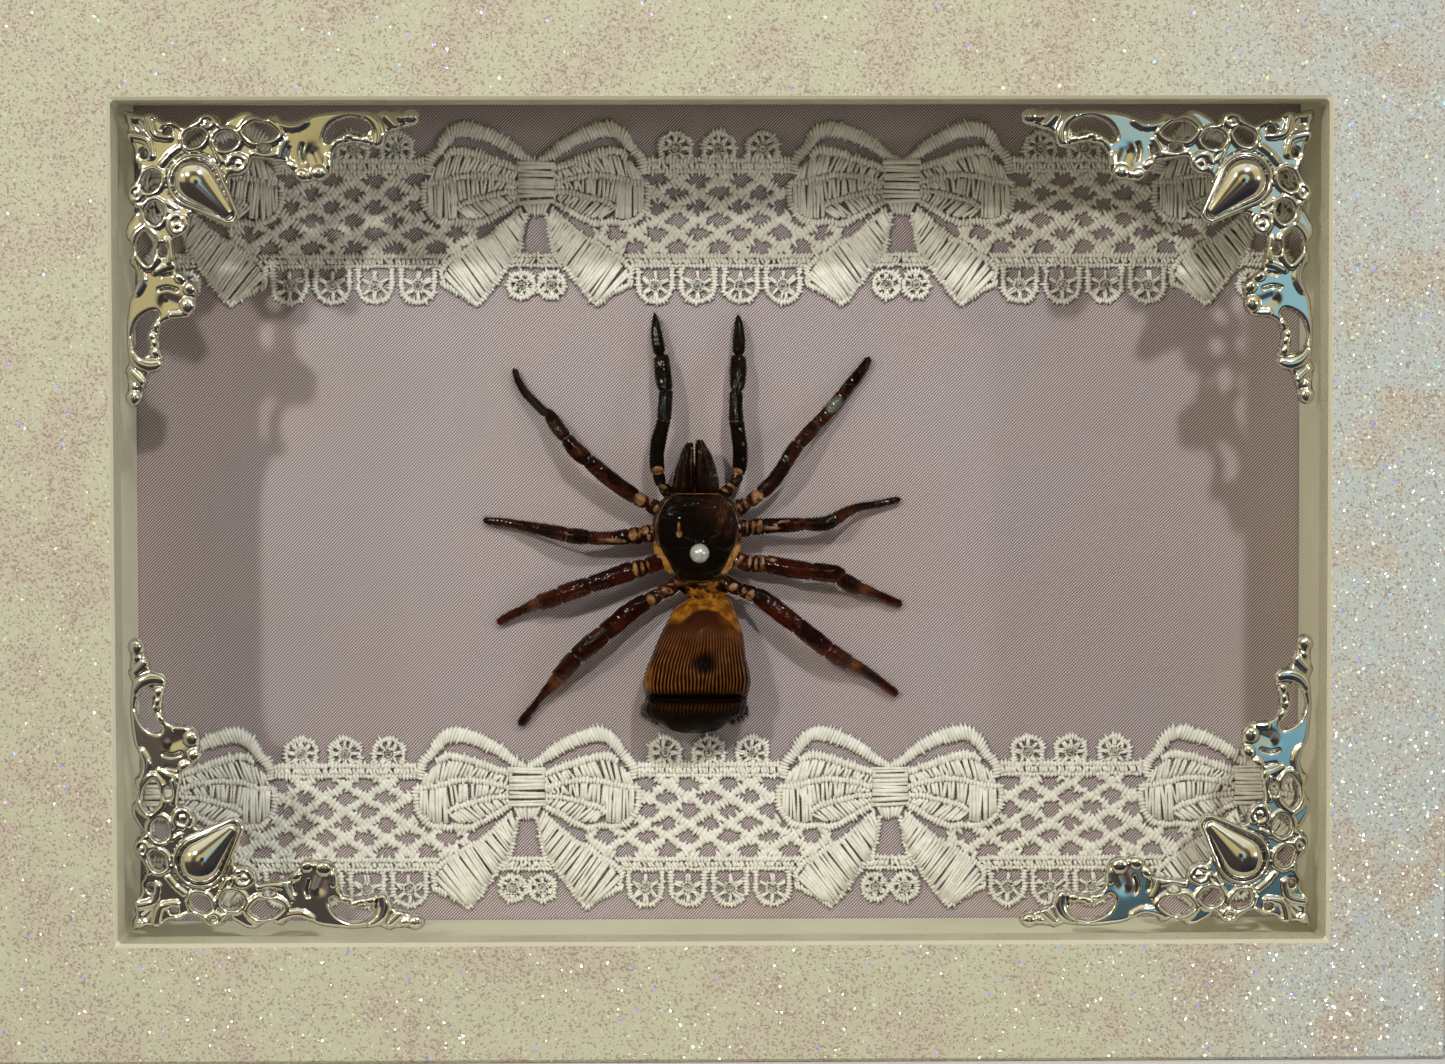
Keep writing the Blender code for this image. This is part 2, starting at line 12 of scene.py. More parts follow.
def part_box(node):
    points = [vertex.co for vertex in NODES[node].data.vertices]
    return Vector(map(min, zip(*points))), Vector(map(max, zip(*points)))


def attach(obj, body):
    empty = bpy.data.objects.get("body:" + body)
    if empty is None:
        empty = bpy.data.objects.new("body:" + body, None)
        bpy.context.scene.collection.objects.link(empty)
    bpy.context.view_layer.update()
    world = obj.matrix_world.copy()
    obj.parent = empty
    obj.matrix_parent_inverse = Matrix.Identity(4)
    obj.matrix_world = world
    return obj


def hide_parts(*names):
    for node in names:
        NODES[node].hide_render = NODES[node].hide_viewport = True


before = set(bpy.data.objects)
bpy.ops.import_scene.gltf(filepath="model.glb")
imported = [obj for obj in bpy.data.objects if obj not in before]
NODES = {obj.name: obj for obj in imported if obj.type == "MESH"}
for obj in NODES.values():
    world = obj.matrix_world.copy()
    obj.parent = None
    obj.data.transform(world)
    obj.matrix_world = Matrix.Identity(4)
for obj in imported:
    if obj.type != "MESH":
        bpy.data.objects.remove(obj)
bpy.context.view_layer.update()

# Viewpoint: the photograph is taken by hand, nearly straight at the face and a little from above. The
# same eye gives the sight lines by which pieces inside the box are placed, as pixels of the photograph
# at a depth behind the moulding's face.
MM = 0.001
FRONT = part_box("frame_moulding")[0].y
MIDDLE = (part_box("frame_moulding")[0].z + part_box("frame_moulding")[1].z) / 2
SATIN_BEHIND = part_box("satin_panel")[0].y - FRONT
EYE = np.array((-5.5 * MM, FRONT - 469.2 * MM, MIDDLE + 18.0 * MM))
EYE_PAN, EYE_DIP, EYE_ROLL = 0.01184, 0.04106, -0.00226
PICTURE_WIDTH, PICTURE_HEIGHT, EYE_FOCAL = 1445, 1064, 3450.0
SENSOR = 36.0
EYE_TURN = Euler((math.pi / 2 - EYE_DIP, 0, -EYE_PAN)).to_matrix() @ Matrix.Rotation(EYE_ROLL, 3, "Z")

lens = bpy.data.cameras.new("camera")
lens.sensor_width = SENSOR
lens.lens = EYE_FOCAL / PICTURE_WIDTH * SENSOR
lens.clip_start = 10 * MM
camera = bpy.data.objects.new("camera", lens)
camera.matrix_world = Matrix.Translation(Vector(EYE)) @ EYE_TURN.to_4x4()
bpy.context.scene.collection.objects.link(camera)
bpy.context.scene.camera = camera


def spot(u, v, behind):
    """Points that pixels (u, v) show on the planes `behind` the moulding's face, along each sight line."""
    u, v, behind = np.broadcast_arrays(np.asarray(u, float), v, behind)
    ray = np.stack([u - PICTURE_WIDTH / 2, PICTURE_HEIGHT / 2 - v, np.full(u.shape, -EYE_FOCAL)], -1)
    ray = ray @ np.array(EYE_TURN).T
    return EYE + ray * ((FRONT + behind - EYE[1]) / ray[..., 1])[..., None]


def over_satin(u, v, lift):
    """Points that pixels (u, v) show at a height over the satin, towards the viewer."""
    return spot(u, v, SATIN_BEHIND - np.asarray(lift, float))


# Moulding: a box moulding wrapped in cream paint full of fine glitter, with a plain painted inner lip.
# The glitter is in the finish: cells as small as the real flakes, each with its own colour and tilt.
CREAM = (0.42, 0.42, 0.285)
# The next cream is the same paint tinted by painted cool light, used towards the right-hand rail.
CREAM_COOL_LIT = (0.375, 0.42, 0.395)
CREAM_PINK = (0.42, 0.37, 0.275)
SPECK = (0.235, 0.155, 0.12)
PLAIN_CREAM = (0.51, 0.48, 0.34)
FLAKE_CELLS = 4200.0
SPARK_CELLS = 1700.0
SIGHT_HALF = (82.7 * MM, 57.4 * MM)
PLAIN_RIM = 0.5 * MM


class Wire:
    """A value in a material's node tree. Python's operators add Math nodes, and node() adds any other."""

    def __init__(self, socket):
        self.socket = socket

    def node(self, kind, settings=None, inputs=None, output=0):
        """One output of a new node, with its settings, and its inputs by name or number."""
        made = self.socket.id_data.nodes.new("ShaderNode" + kind)
        for name, value in (settings or {}).items():
            setattr(made, name, value)
        for name, value in (inputs or {}).items():
            feed(made.inputs[name], value)
        return Wire(made.outputs[output])

    def maths(self, operation, *others):
        """What one Math node makes of this number and others."""
        return self.node("Math", {"operation": operation}, dict(enumerate((self, *others))))

    def __add__(self, other):
        return self.maths("ADD", other)

    __radd__ = __add__

    def __sub__(self, other):
        return self.maths("SUBTRACT", other)

    def __rsub__(self, other):
        return self.node("Math", {"operation": "SUBTRACT"}, {0: other, 1: self})

    def __mul__(self, other):
        return self.maths("MULTIPLY", other)

    __rmul__ = __mul__

    def __gt__(self, other):
        return self.maths("GREATER_THAN", other)

    def __lt__(self, other):
        return self.maths("LESS_THAN", other)

    def between(self, low, high):
        """0 below `low`, 1 above `high`, and a soft step from one to the other."""
        settings = {"interpolation_type": "SMOOTHSTEP"}
        return self.node("MapRange", settings, {"Value": self, "From Min": low, "From Max": high})

    def mixed(self, low, high):
        """The colour `low` where this value is 0, and `high` where it is 1."""
        inputs = {"Factor": self, 6: low, 7: high}  # sockets 6, 7 and, going out, 2 hold colours
        return self.node("Mix", {"data_type": "RGBA"}, inputs, output=2)

    def part(self, axis):
        """One of a vector's three numbers."""
        return self.node("SeparateXYZ", {}, {0: self}, output="XYZ".index(axis))

    def scaled(self, x, y, z):
        """A vector stretched along its three axes."""
        return self.vectors("MULTIPLY", (x, y, z))

    def mark(self, name):
        """The number `name` that the mesh holds at each of its points."""
        return self.node("Attribute", {"attribute_name": name}, {}, output=2)

    def ray(self, kind):
        """What the light path says of the ray that arrives, by the name of the node's output."""
        return self.node("LightPath", {}, {}, output=kind)

    def vectors(self, operation, *others):
        """What one Vector Math node makes of this vector and others."""
        return self.node("VectorMath", {"operation": operation}, dict(enumerate((self, *others))))

    def noise(self, scale, detail=2.0):
        """Soft noise from 0 to 1, `scale` waves to the metre."""
        return self.node("TexNoise", {}, {"Vector": self, "Scale": scale, "Detail": detail})

    def cells(self, scale, output=1):
        """Voronoi cells: output 0 is the distance to the cell's point, 1 its random colour."""
        return self.node("TexVoronoi", {}, {"Vector": self, "Scale": scale}, output)

    def bump(self, strength, distance):
        """A normal bent as if this value were a height."""
        return self.node("Bump", {}, {"Height": self, "Strength": strength, "Distance": distance})


def feed(socket, value):
    """Link a Wire to a socket, or set the socket to a plain number or colour."""
    if isinstance(value, Wire):
        socket.id_data.links.new(value.socket, socket)
    elif socket.type == "RGBA" and len(value) == 3:
        socket.default_value = (*value, 1)
    else:
        socket.default_value = value


def finish(name, **sockets):
    """A Principled material, its sockets named with _ for a space, and its Object coordinates."""
    material = bpy.data.materials.new(name)
    material.use_nodes = True
    coordinates = material.node_tree.nodes.new("ShaderNodeTexCoord")
    set_finish(material, **sockets)
    return material, Wire(coordinates.outputs["Object"])


def set_finish(material, **sockets):
    shader = material.node_tree.nodes["Principled BSDF"]
    for name, value in sockets.items():
        feed(shader.inputs[name.replace("_", " ")], value)


def dress(node, material):
    """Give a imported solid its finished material."""
    thing = NODES[node]
    thing.data.materials.clear()
    thing.data.materials.append(material)


def glitter_finish():
    """Each small cell is a flake with its own tone and tilt; a few larger cells are coloured flakes that
    glow faintly as a painted glint. Towards the right-hand rail the paint is tinted cool and bright
    flakes and glints are more common, as painted cool light from that side.
    """
    material, place = finish("glitter_paint", Coat_Weight=0.25)
    clouds = place.noise(95.0, 3.0).between(0.42, 0.66)
    grain = place.cells(FLAKE_CELLS)
    pick, tone, shine = grain.part("X"), grain.part("Y"), grain.part("Z")
    # Painted light: towards the right-hand rail the paint turns cool and bright flakes and glints grow more
    # common.
    cool = place.part("X").between(0.045, 0.095)
    paint = (clouds * 0.75 + tone * 0.25).mixed(cool.mixed(CREAM, CREAM_COOL_LIT), CREAM_PINK)
    speck = (pick > 0.86 - 0.15 * clouds) * 0.7
    colour = speck.mixed(paint, SPECK)
    bright = shine > 0.984 - 0.06 * cool
    colour = bright.mixed(colour, (0.84, 0.84, 0.79))
    spark = place.cells(SPARK_CELLS)
    near = place.cells(SPARK_CELLS, output=0) < 0.42
    glowing_spark = (spark.part("X") > 0.990 - 0.014 * cool) * near
    hue = place.node("CombineColor", {"mode": "HSV"}, {0: spark.part("Y") * 0.65 + 0.13, 1: 0.55, 2: 1.0})
    colour = glowing_spark.mixed(colour, hue)
    inside_x = place.part("X").maths("ABSOLUTE") < SIGHT_HALF[0] + PLAIN_RIM
    inside_z = (place.part("Z") - MIDDLE).maths("ABSOLUTE") < SIGHT_HALF[1] + PLAIN_RIM
    lip = inside_x * inside_z
    colour = lip.mixed(colour, PLAIN_CREAM)
    loose = 1 - lip
    tilt = grain.vectors("SUBTRACT", (0.5, 0.5, 0.5))
    tilt = place.node("VectorMath", {"operation": "SCALE"}, {0: tilt, "Scale": loose * (0.30 + bright)})
    normal = place.node("NewGeometry", output="Normal").vectors("ADD", tilt).vectors("NORMALIZE")
    # Painted glint: the coloured flakes glow faintly by emission, though they are no lamp.
    set_finish(material, Base_Color=colour, Roughness=0.48 - bright * 0.30 - glowing_spark * 0.2, Normal=normal,
               Metallic=(bright + glowing_spark) * 0.8 * loose, Emission_Strength=0.35,
               Emission_Color=(glowing_spark * loose).mixed((0, 0, 0), hue))
    return material


dress("frame_moulding", glitter_finish())


# Liner: a spacer of card painted plain cream, slid in behind the pane, that keeps it off the satin.
# Its inner walls show as narrow strips with a thin dark joint where they meet the satin.
LINER_CREAM = (0.75, 0.72, 0.54)


def liner_finish():
    """Cream paint in two near shades, with the fine tooth of card."""
    material, place = finish("liner_paint", Roughness=0.5)
    clouds = place.noise(60.0, 3.0)
    colour = clouds.between(0.3, 0.7).mixed(LINER_CREAM, (0.69, 0.655, 0.48))
    set_finish(material, Base_Color=colour, Normal=place.noise(1600.0).bump(0.15, 0.05 * MM))
    return material


dress("liner", liner_finish())


# Pane: two millimetres of clear glass, cut to the rebate and held there between the moulding's lip and
# the liner. It shows only as a faint tint over all that lies behind it.
def let_through(material, place, passing, colour=(1, 1, 1)):
    """Make a material clear, with a faint tint, to the share `passing` of the rays that arrive."""
    tree = material.node_tree
    shader, end = tree.nodes["Principled BSDF"], tree.nodes["Material Output"]
    clear = place.node("BsdfTransparent", {}, {"Color": colour})
    both = place.node("MixShader", {}, {0: passing, 1: Wire(shader.outputs[0]), 2: clear})
    feed(end.inputs["Surface"], both)


def glass_finish():
    """Clear to the eye, and open to shadow, soft and mirror rays, so that the box is lit through it."""
    material, place = finish("clear_glass", Base_Color=(0.98, 1.0, 0.99), Roughness=0.0, IOR=1.05)
    set_finish(material, Transmission_Weight=1.0, Specular_IOR_Level=0.5)
    passing = sum(place.ray(kind) for kind in ("Is Shadow Ray", "Is Diffuse Ray", "Is Glossy Ray"))
    let_through(material, place, passing, (0.97, 0.98, 0.97))
    return material


dress("glass_pane", glass_finish())


# Satin: one sheet of dusty pink twill stretched over the foam board and held flat by the liner's edge.
# It has its real thickness, soft hollows of a few hundredths of a millimetre, and diagonal twill lines.
TWILL_PITCH = 0.335 * MM
FLOAT_LENGTH = 0.36 * MM
# The pink twill in two copies: light with painted sheen for the floats, dark with painted shade for the gaps.
SATIN_SHEEN, SATIN_SHEEN_WARM = (0.76, 0.605, 0.62), (0.78, 0.60, 0.58)
SATIN_GAP_SHADE, SATIN_GAP_SHADE_WARM = (0.095, 0.062, 0.065), (0.10, 0.06, 0.058)


def grid_quads(rows, columns, wrap=False):
    """Corner numbers of the quads of a grid of points counted row by row; `wrap` closes each row."""
    row = np.arange(rows - 1)[:, None]
    column = np.arange(columns if wrap else columns - 1)[None, :]
    after = (column + 1) % columns
    corners = [row * columns + column, row * columns + after, (row + 1) * columns + after,
               (row + 1) * columns + column]
    return np.stack(np.broadcast_arrays(*corners), -1).reshape(-1, 4)


def piece(name, shells, material, slot, stands_for=(), smooth=True, marks=()):
    """One object from shells of (points, quads, triangles, marks), where marks hold a number per point."""
    points, quads, triangles, noted, count = [], [], [], {mark: [] for mark in marks}, 0
    for shell_points, shell_quads, shell_triangles, shell_marks in shells:
        points.append(shell_points)
        quads.append(shell_quads + count)
        triangles.append(shell_triangles + count)
        for mark in marks:
            noted[mark].append(np.broadcast_to(shell_marks[mark], len(shell_points)))
        count += len(shell_points)
    points, quads, triangles = np.concatenate(points), np.concatenate(quads), np.concatenate(triangles)
    mesh = bpy.data.meshes.new(name)
    mesh.vertices.add(len(points))
    mesh.vertices.foreach_set("co", points.astype(np.float32).ravel())
    corners = np.concatenate([quads.ravel(), triangles.ravel()]).astype(np.int32)
    mesh.loops.add(len(corners))
    mesh.loops.foreach_set("vertex_index", corners)
    starts = np.concatenate([np.arange(len(quads)) * 4, len(quads) * 4 + np.arange(len(triangles)) * 3])
    mesh.polygons.add(len(starts))
    mesh.polygons.foreach_set("loop_start", starts.astype(np.int32))
    mesh.update(calc_edges=True)
    if smooth:
        mesh.shade_smooth()
    for mark, numbers in noted.items():
        layer = mesh.attributes.new(mark, "FLOAT", "POINT")
        layer.data.foreach_set("value", np.concatenate(numbers).astype(np.float32))
    mesh.materials.append(material)
    thing = bpy.data.objects.new(name, mesh)
    bpy.context.scene.collection.objects.link(thing)
    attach(thing, "root")
    if stands_for:
        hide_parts(*stands_for)
    return thing


NO_TRIANGLES = np.zeros((0, 3), int)


def slab(front, back):
    """A closed sheet between two grids of points [row, column, 3] that share their rim's layout."""
    rows, columns = front.shape[:2]
    size = rows * columns
    quads = grid_quads(rows, columns)
    number = np.arange(size).reshape(rows, columns)
    rim = np.concatenate([number[0, :-1], number[:-1, -1], number[-1, :0:-1], number[:0:-1, 0]])
    after = np.roll(rim, -1)
    walls = np.stack([rim, after, after + size, rim + size], -1)[:, ::-1]
    points = np.concatenate([front.reshape(-1, 3), back.reshape(-1, 3)])
    return points, np.concatenate([quads, quads[:, ::-1] + size, walls]), NO_TRIANGLES, {}


def satin_sheet():
    """y = the board's face less the cloth's thickness, less slow ripples that fade out at the rim."""
    low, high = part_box("satin_panel")
    x, z = np.meshgrid(np.linspace(low.x, high.x, 260), np.linspace(low.z, high.z, 190))
    ripple = 0.05 * np.sin(x / MM * 0.11 + 1.3 * np.sin(z / MM * 0.07))
    ripple = ripple + 0.04 * np.sin(z / MM * 0.16 + x / MM * 0.05)
    fade = np.clip((high.x - np.abs(x)) / (6 * MM), 0, 1) * np.clip((z - low.z) / (6 * MM), 0, 1)
    fade = fade * np.clip((high.z - z) / (6 * MM), 0, 1)
    front = np.stack([x, low.y + 0.09 * MM - ripple * fade * MM, z], -1)
    back = np.stack([x, np.full(x.shape, high.y - 0.02 * MM), z], -1)
    return slab(front, back)


def satin_finish():
    """Twill lines that run up to the right; each is a row of short floats, light with painted sheen,
    with dark gaps of painted shade between them.
    """
    material, place = finish("pink_satin", IOR=1.7, Specular_IOR_Level=1.0)
    across = (place.part("X") - place.part("Z")) * (1 / math.sqrt(2))
    along = (place.part("X") + place.part("Z")) * (1 / math.sqrt(2)) * (1 / FLOAT_LENGTH)
    wander = place.noise(90.0) - 0.5
    phase = across * (1 / TWILL_PITCH) + wander * 0.7
    row = phase.maths("FLOOR")
    ridge = (phase * math.tau).maths("SINE") * 0.5 + 0.5
    floats = ((along + wander * 2.0 + row * 0.5) * math.tau).maths("SINE")
    single = place.node("CombineXYZ", {}, {0: row, 1: along, 2: 0.0})
    glow = ridge * (0.76 + 0.24 * floats) * (0.75 + 0.5 * single.noise(1.0, 1.0))
    clouds = place.noise(42.0).between(0.35, 0.65)
    light = clouds.mixed(SATIN_SHEEN, SATIN_SHEEN_WARM)
    dark = clouds.mixed(SATIN_GAP_SHADE, SATIN_GAP_SHADE_WARM)
    # Painted sheen on the floats and painted shade in the gaps between them.
    colour = glow.between(0.22, 0.90).mixed(dark, light)
    set_finish(material, Base_Color=colour, Roughness=0.42 - 0.12 * ridge,
               Normal=glow.bump(0.35, 0.05 * MM))
    return material


satin = piece("satin_cloth", [satin_sheet()], satin_finish(), "satin", ["satin_panel"])


# Backing: a light foam board behind the satin, a brown hardboard back, and six flat steel points that
# are pushed into the rebate and hold the back in.
def board_finish():
    """Hardboard: pressed brown fibres that run across it, with a few dark flecks."""
    material, place = finish("brown_hardboard", Roughness=0.55)
    fibre = place.scaled(1, 1, 3).noise(900.0, 4.0)
    blotch = place.noise(45.0, 3.0)
    colour = (fibre * 0.6 + blotch * 0.4).between(0.3, 0.7).mixed((0.22, 0.125, 0.06), (0.36, 0.225, 0.12))
    fleck = place.scaled(1, 1, 0.3).cells(1300.0).part("X") > 0.9
    set_finish(material, Base_Color=(fleck * 0.5).mixed(colour, (0.12, 0.06, 0.03)),
               Normal=fibre.bump(0.3, 0.08 * MM), Roughness=0.62 - 0.2 * fibre)
    return material


def steel_finish():
    """Steel with fine scratches."""
    material, place = finish("bright_steel", Metallic=1.0, Base_Color=(0.62, 0.62, 0.6))
    scratch = place.scaled(1, 1, 12).noise(500.0, 3.0)
    set_finish(material, Roughness=0.24 + 0.22 * scratch, Normal=scratch.bump(0.12, 0.03 * MM))
    return material


def foam_finish():
    """White foam with a fine cellular tooth."""
    material, place = finish("white_foam", Roughness=0.9)
    foam = place.cells(1500.0, output=0)
    set_finish(material, Base_Color=foam.mixed((0.75, 0.75, 0.72), (0.86, 0.86, 0.84)),
               Normal=foam.bump(0.3, 0.1 * MM))
    return material


dress("foam_board", foam_finish())
dress("back_board", board_finish())
steel = steel_finish()
for tab in sorted(name for name in NODES if name.startswith("back_tab")):
    dress(tab, steel)


# Lace: two bands of corded lace glued to the satin the same way up, made of satin-stitched cords and of
# single threads that fill the leaves. Each repeat has a bow with wings and tails, and between bows a net
# with a border of three flowers above it and one of four looped eyes below, each round a glass stone.
LACE_REPEAT = 53.1
LACE_CUT = 84.1
LACE_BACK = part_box("lace_lower")[1].y + 0.2 * MM
THREAD_PALE, THREAD_DULL = (0.785, 0.735, 0.66), (0.63, 0.595, 0.515)
STONE_RADIUS = 0.64
EYE_CORD = 0.95
draw = np.random.default_rng(41)

# The bow's right half in millimetres from the knot's axis and the band's foot: each satin cord by its
# two edges and its height, then each leaf that threads fill from edge to edge, with their pitch, lean
# and lift. The knot is filled in the same way.
BOW_CORDS = [
    ([(0, 21.6), (1.9, 22.9), (3.2, 24.3), (5, 25.4), (7.3, 26.5), (9.5, 27.2), (11.2, 27.2), (12.8, 26.4),
      (13.8, 25.2), (14.6, 23.5), (15.9, 22.3), (16.6, 20.9), (16.2, 19.4)],
     [(0, 20.3), (2.3, 21.2), (4.1, 22.4), (6.1, 23.5), (8.3, 24.3), (10.7, 24.7), (11.6, 24.5),
      (12.1, 23.9), (12.6, 23.3), (13.4, 22.4), (14.3, 21.6), (14.9, 20.6), (14.8, 19.2)], (0.95,)),
    ([(2.0, 20.7), (4.1, 21.4), (6.4, 22.2), (8.3, 22.9), (10.7, 23.5), (12.4, 23.4), (13.6, 22.4)],
     [(2.2, 19.4), (4.4, 20.1), (6.7, 20.8), (8.7, 21.5), (10.8, 22.0), (12.0, 22.0), (13.0, 21.3)],
     (0.85,)),
    ([(2.4, 18.6), (5.0, 19.4), (8.3, 19.9), (11.3, 19.6), (14.1, 18.8), (16.2, 18.7)],
     [(2.6, 17.4), (5.0, 18.2), (8.3, 18.7), (11.1, 18.4), (13.9, 17.6), (16.2, 17.5)], (0.85,)),
    ([(2.6, 17.4), (5.0, 17.3), (7.8, 16.6), (10.6, 15.9), (12.0, 14.9)],
     [(2.6, 16.3), (5.0, 16.2), (7.5, 15.5), (10.1, 14.8), (11.3, 14.0)], (0.85,)),
    ([(2.5, 16.1), (4.4, 15.1), (6.4, 13.9), (8.1, 13.0), (9.0, 12.8), (10.5, 13.1), (12.3, 12.9),
      (14.0, 13.2), (15.1, 14.3), (15.6, 15.5), (15.7, 17.0), (15.6, 18.3)],
     [(2.1, 15.1), (3.8, 14.1), (5.8, 12.9), (7.7, 11.9), (8.7, 11.5), (10.7, 11.9), (12.5, 11.7),
      (14.8, 12.2), (16.1, 13.7), (16.8, 15.2), (16.9, 17.0), (16.7, 18.4)], (0.85,)),
    ([(1.9, 13.8), (2.9, 8.6), (4.9, 6.1), (6.6, 3.7), (8.1, 1.6), (9.2, 0.9)],
     [(1.0, 13.9), (2.1, 8.2), (4.0, 5.6), (5.8, 3.2), (7.5, 0.9), (8.7, 0.0)], (0.75,)),
    ([(2.3, 14.9), (5.1, 12.4), (7.4, 10.5), (9.3, 9.8), (10.9, 8.4), (12.7, 7.6), (14.4, 5.8),
      (13.9, 3.4)],
     [(2.0, 13.9), (4.5, 11.6), (6.7, 9.6), (8.9, 8.7), (10.3, 7.4), (12.0, 6.6), (13.4, 5.3), (12.9, 3.9)],
     (0.75,)),
    ([(14.2, 4.1), (12.1, 3.4), (10.6, 2.8), (8.8, 1.3)],
     [(13.9, 3.0), (12.3, 2.2), (11.0, 1.6), (8.8, 0.0)], (0.75,)),
    ([(0, 16.0), (2.4, 15.9)], [(0, 13.3), (1.2, 13.5)], (0.75,)),
    ([(0, 8.1), (2.6, 8.1)], [(0, 7.2), (3.0, 7.2)], (0.7,)),
    ([(0, 6.6), (3.4, 6.6)], [(0, 5.8), (3.9, 5.8)], (0.65,))]
BOW_LEAVES = [
    ([(2.4, 19.6), (4.4, 20.2), (6.7, 21.0), (8.7, 21.7), (10.8, 22.2), (12.8, 21.9), (14.8, 20.2)],
     [(2.6, 18.3), (4.6, 19.1), (7.0, 19.6), (9.2, 19.7), (11.2, 19.4), (13.0, 18.9), (15.2, 18.6)],
     (0.60, 0.5, 0.5)),
    ([(2.6, 17.6), (5.0, 18.4), (8.3, 18.8), (11.2, 18.5), (13.6, 17.9)],
     [(2.8, 17.2), (5.0, 17.2), (7.7, 16.5), (10.4, 15.8), (12.0, 14.9)], (0.60, 0.5, 0.5)),
    ([(2.8, 16.4), (5.0, 16.3), (7.7, 15.6), (10.2, 14.9), (11.4, 14.1)],
     [(3.0, 15.9), (4.5, 15.0), (6.6, 13.7), (8.6, 12.8), (10.6, 13.0)], (0.60, -0.6, 0.5)),
    ([(11.6, 18.4), (13.0, 18.1), (14.4, 17.8), (15.7, 17.8)],
     [(11.2, 13.2), (12.6, 12.8), (14.2, 13.2), (15.4, 14.4)], (0.50, 0.3, 0.65)),
    ([(2.3, 14.3), (3.7, 13.1), (5.4, 11.6), (7.2, 10.1), (9.0, 9.2), (10.6, 7.9), (12.2, 6.8),
      (13.6, 4.6)],
     [(1.6, 12.6), (2.0, 10.5), (2.6, 8.4), (4.3, 6.0), (5.5, 4.3), (6.7, 2.6), (8.0, 0.9), (10.0, 1.4)],
     (0.46, 0.0, 0.75)), ([(0, 7.3), (2.9, 7.3)], [(0, 6.5), (3.4, 6.5)], (0.5, 0.4, 0.45))]
KNOT = ([(-2.8, 15.4), (-2.5, 18.4), (-2.8, 21.2)], [(2.8, 15.4), (2.5, 18.4), (2.8, 21.2)],
        (0.56, 0.0, 1.0))

# Where the net ends against a bow: how far the bow's edge stands from its axis at each height.
BOW_EDGE = ([7.9, 8.4, 9.9, 11.2, 11.9, 12.2, 12.7, 14.1, 15.4, 17.0, 18.5, 19.8],
            [13.0, 10.6, 8.6, 8.2, 8.6, 13.0, 15.0, 16.2, 16.6, 16.6, 16.2, 16.4])
NET_PITCH, NET_SLOPE, NET_NODE = 6.0, 0.65, 14.65
NET_LOW, NET_HIGH = 7.7, 19.7
# How far a bow and a gap reach to each side of their middle, and where their eyes and flowers sit.
BOW_HALF, GAP_HALF = 18, 14
BOW_EYE = (2.15, 3.35)
EYES, EYE_HIGH = (-9.3, -3.1, 3.1, 9.3), 3.25
FLOWERS, FLOWER_HIGH = (-6.35, 0, 6.35), 23.1


def tubes(rings):
    """Closed tubes from rings of points [tube, ring, side, 3], capped by fans and facing outwards."""
    count, ring_count, sides = rings.shape[:3]
    size = ring_count * sides
    flat = rings.reshape(count, size, 3)
    quads = grid_quads(ring_count, sides, wrap=True)
    fan = np.arange(1, sides - 1)
    cap = np.stack([np.zeros_like(fan), fan, fan + 1], -1)
    triangles = np.concatenate([cap[:, ::-1], cap + size - sides])
    corner = flat[:, quads]
    middle = flat.mean(1)[:, None]
    a, b, c, d = (corner[:, :, number] - middle for number in range(4))
    volume = (np.cross(a, b) * c).sum((1, 2)) + (np.cross(a, c) * d).sum((1, 2))
    shift = (np.arange(count) * size)[:, None, None]
    turned = (volume < 0)[:, None, None]
    quads = np.where(turned, quads[None, :, ::-1], quads[None]) + shift
    triangles = np.where(turned, triangles[None, :, ::-1], triangles[None]) + shift
    return rings.reshape(-1, 3), quads.reshape(-1, 4), triangles.reshape(-1, 3)


def evened(line_a, line_b, count, rounds=6):
    """Two edges cut at the same `count` places by their mean length, with their corners rubbed round.
    With no count it gives that mean length instead."""
    lines = [np.asarray(line, float) for line in (line_a, line_b)]
    steps = [np.linalg.norm(np.diff(line, axis=0), axis=1) for line in lines]
    reach = np.concatenate([[0], np.cumsum((steps[0] + steps[1]) / 2)])
    if count < 1:
        return reach[-1]
    at = np.linspace(0, reach[-1], count)
    edges = [np.stack([np.interp(at, reach, line[:, axis]) for axis in (0, 1)], -1) for line in lines]
    for edge in edges:
        for _ in range(rounds):
            edge[1:-1] = (edge[:-2] + 2 * edge[1:-1] + edge[2:]) / 4
    return edges


def placed(flat, lift):
    """Millimetres in the band's plane and a lift over its back, as points in the frame."""
    return np.stack([flat[..., 0] * MM, LACE_BACK - lift * MM, flat[..., 1] * MM], -1)


def cord(edge_a, edge_b, height, pitch=0.52, rough=0.07):
    """A satin-stitched cord: between its two edges a low round arch that rises in each stitch and sinks
    between stitches, whose edges step out and in with them. None where the liner cuts it off."""
    length = evened(edge_a, edge_b, 0)
    stitches = max(int(round(length / pitch)), 2)
    a, b = evened(edge_a, edge_b, 3 * stitches + 1)
    keep = np.abs((a + b)[:, 0] / 2) < LACE_CUT
    if keep.sum() < 5:
        return None
    phase, stitch = np.arange(len(a)) % 3, np.arange(len(a)) // 3
    valley = phase == 0
    wobble = draw.normal(0, 1, (3, stitches + 1))[:, stitch]
    half = (b - a) / 2
    width = np.linalg.norm(half, axis=1, keepdims=True)
    out = np.where(valley, -0.16, 0.08 + (rough + 0.08) * wobble[:2])[..., None] * half / width
    a, b = a - out[0], b + out[1]
    rise = height * np.where(valley, 0.55, 1.0 + 0.12 * wobble[2])
    a, b, rise = a[keep], b[keep], rise[keep]
    across = np.array([0, 0.17, 0.5, 0.83, 1, 0.5])
    arch = np.array([0.12, 0.76, 1.0, 0.76, 0.12, 0.0])
    flat = a[:, None] + (b - a)[:, None] * across[None, :, None]
    # Painted shade in the valleys between stitches.
    sunk = np.repeat(np.where(valley, 1.0 + 0.35 * wobble[0], 0.0)[keep], len(across))
    return (*tubes(placed(flat, rise[:, None] * arch)[None]), {"sunk": sunk})


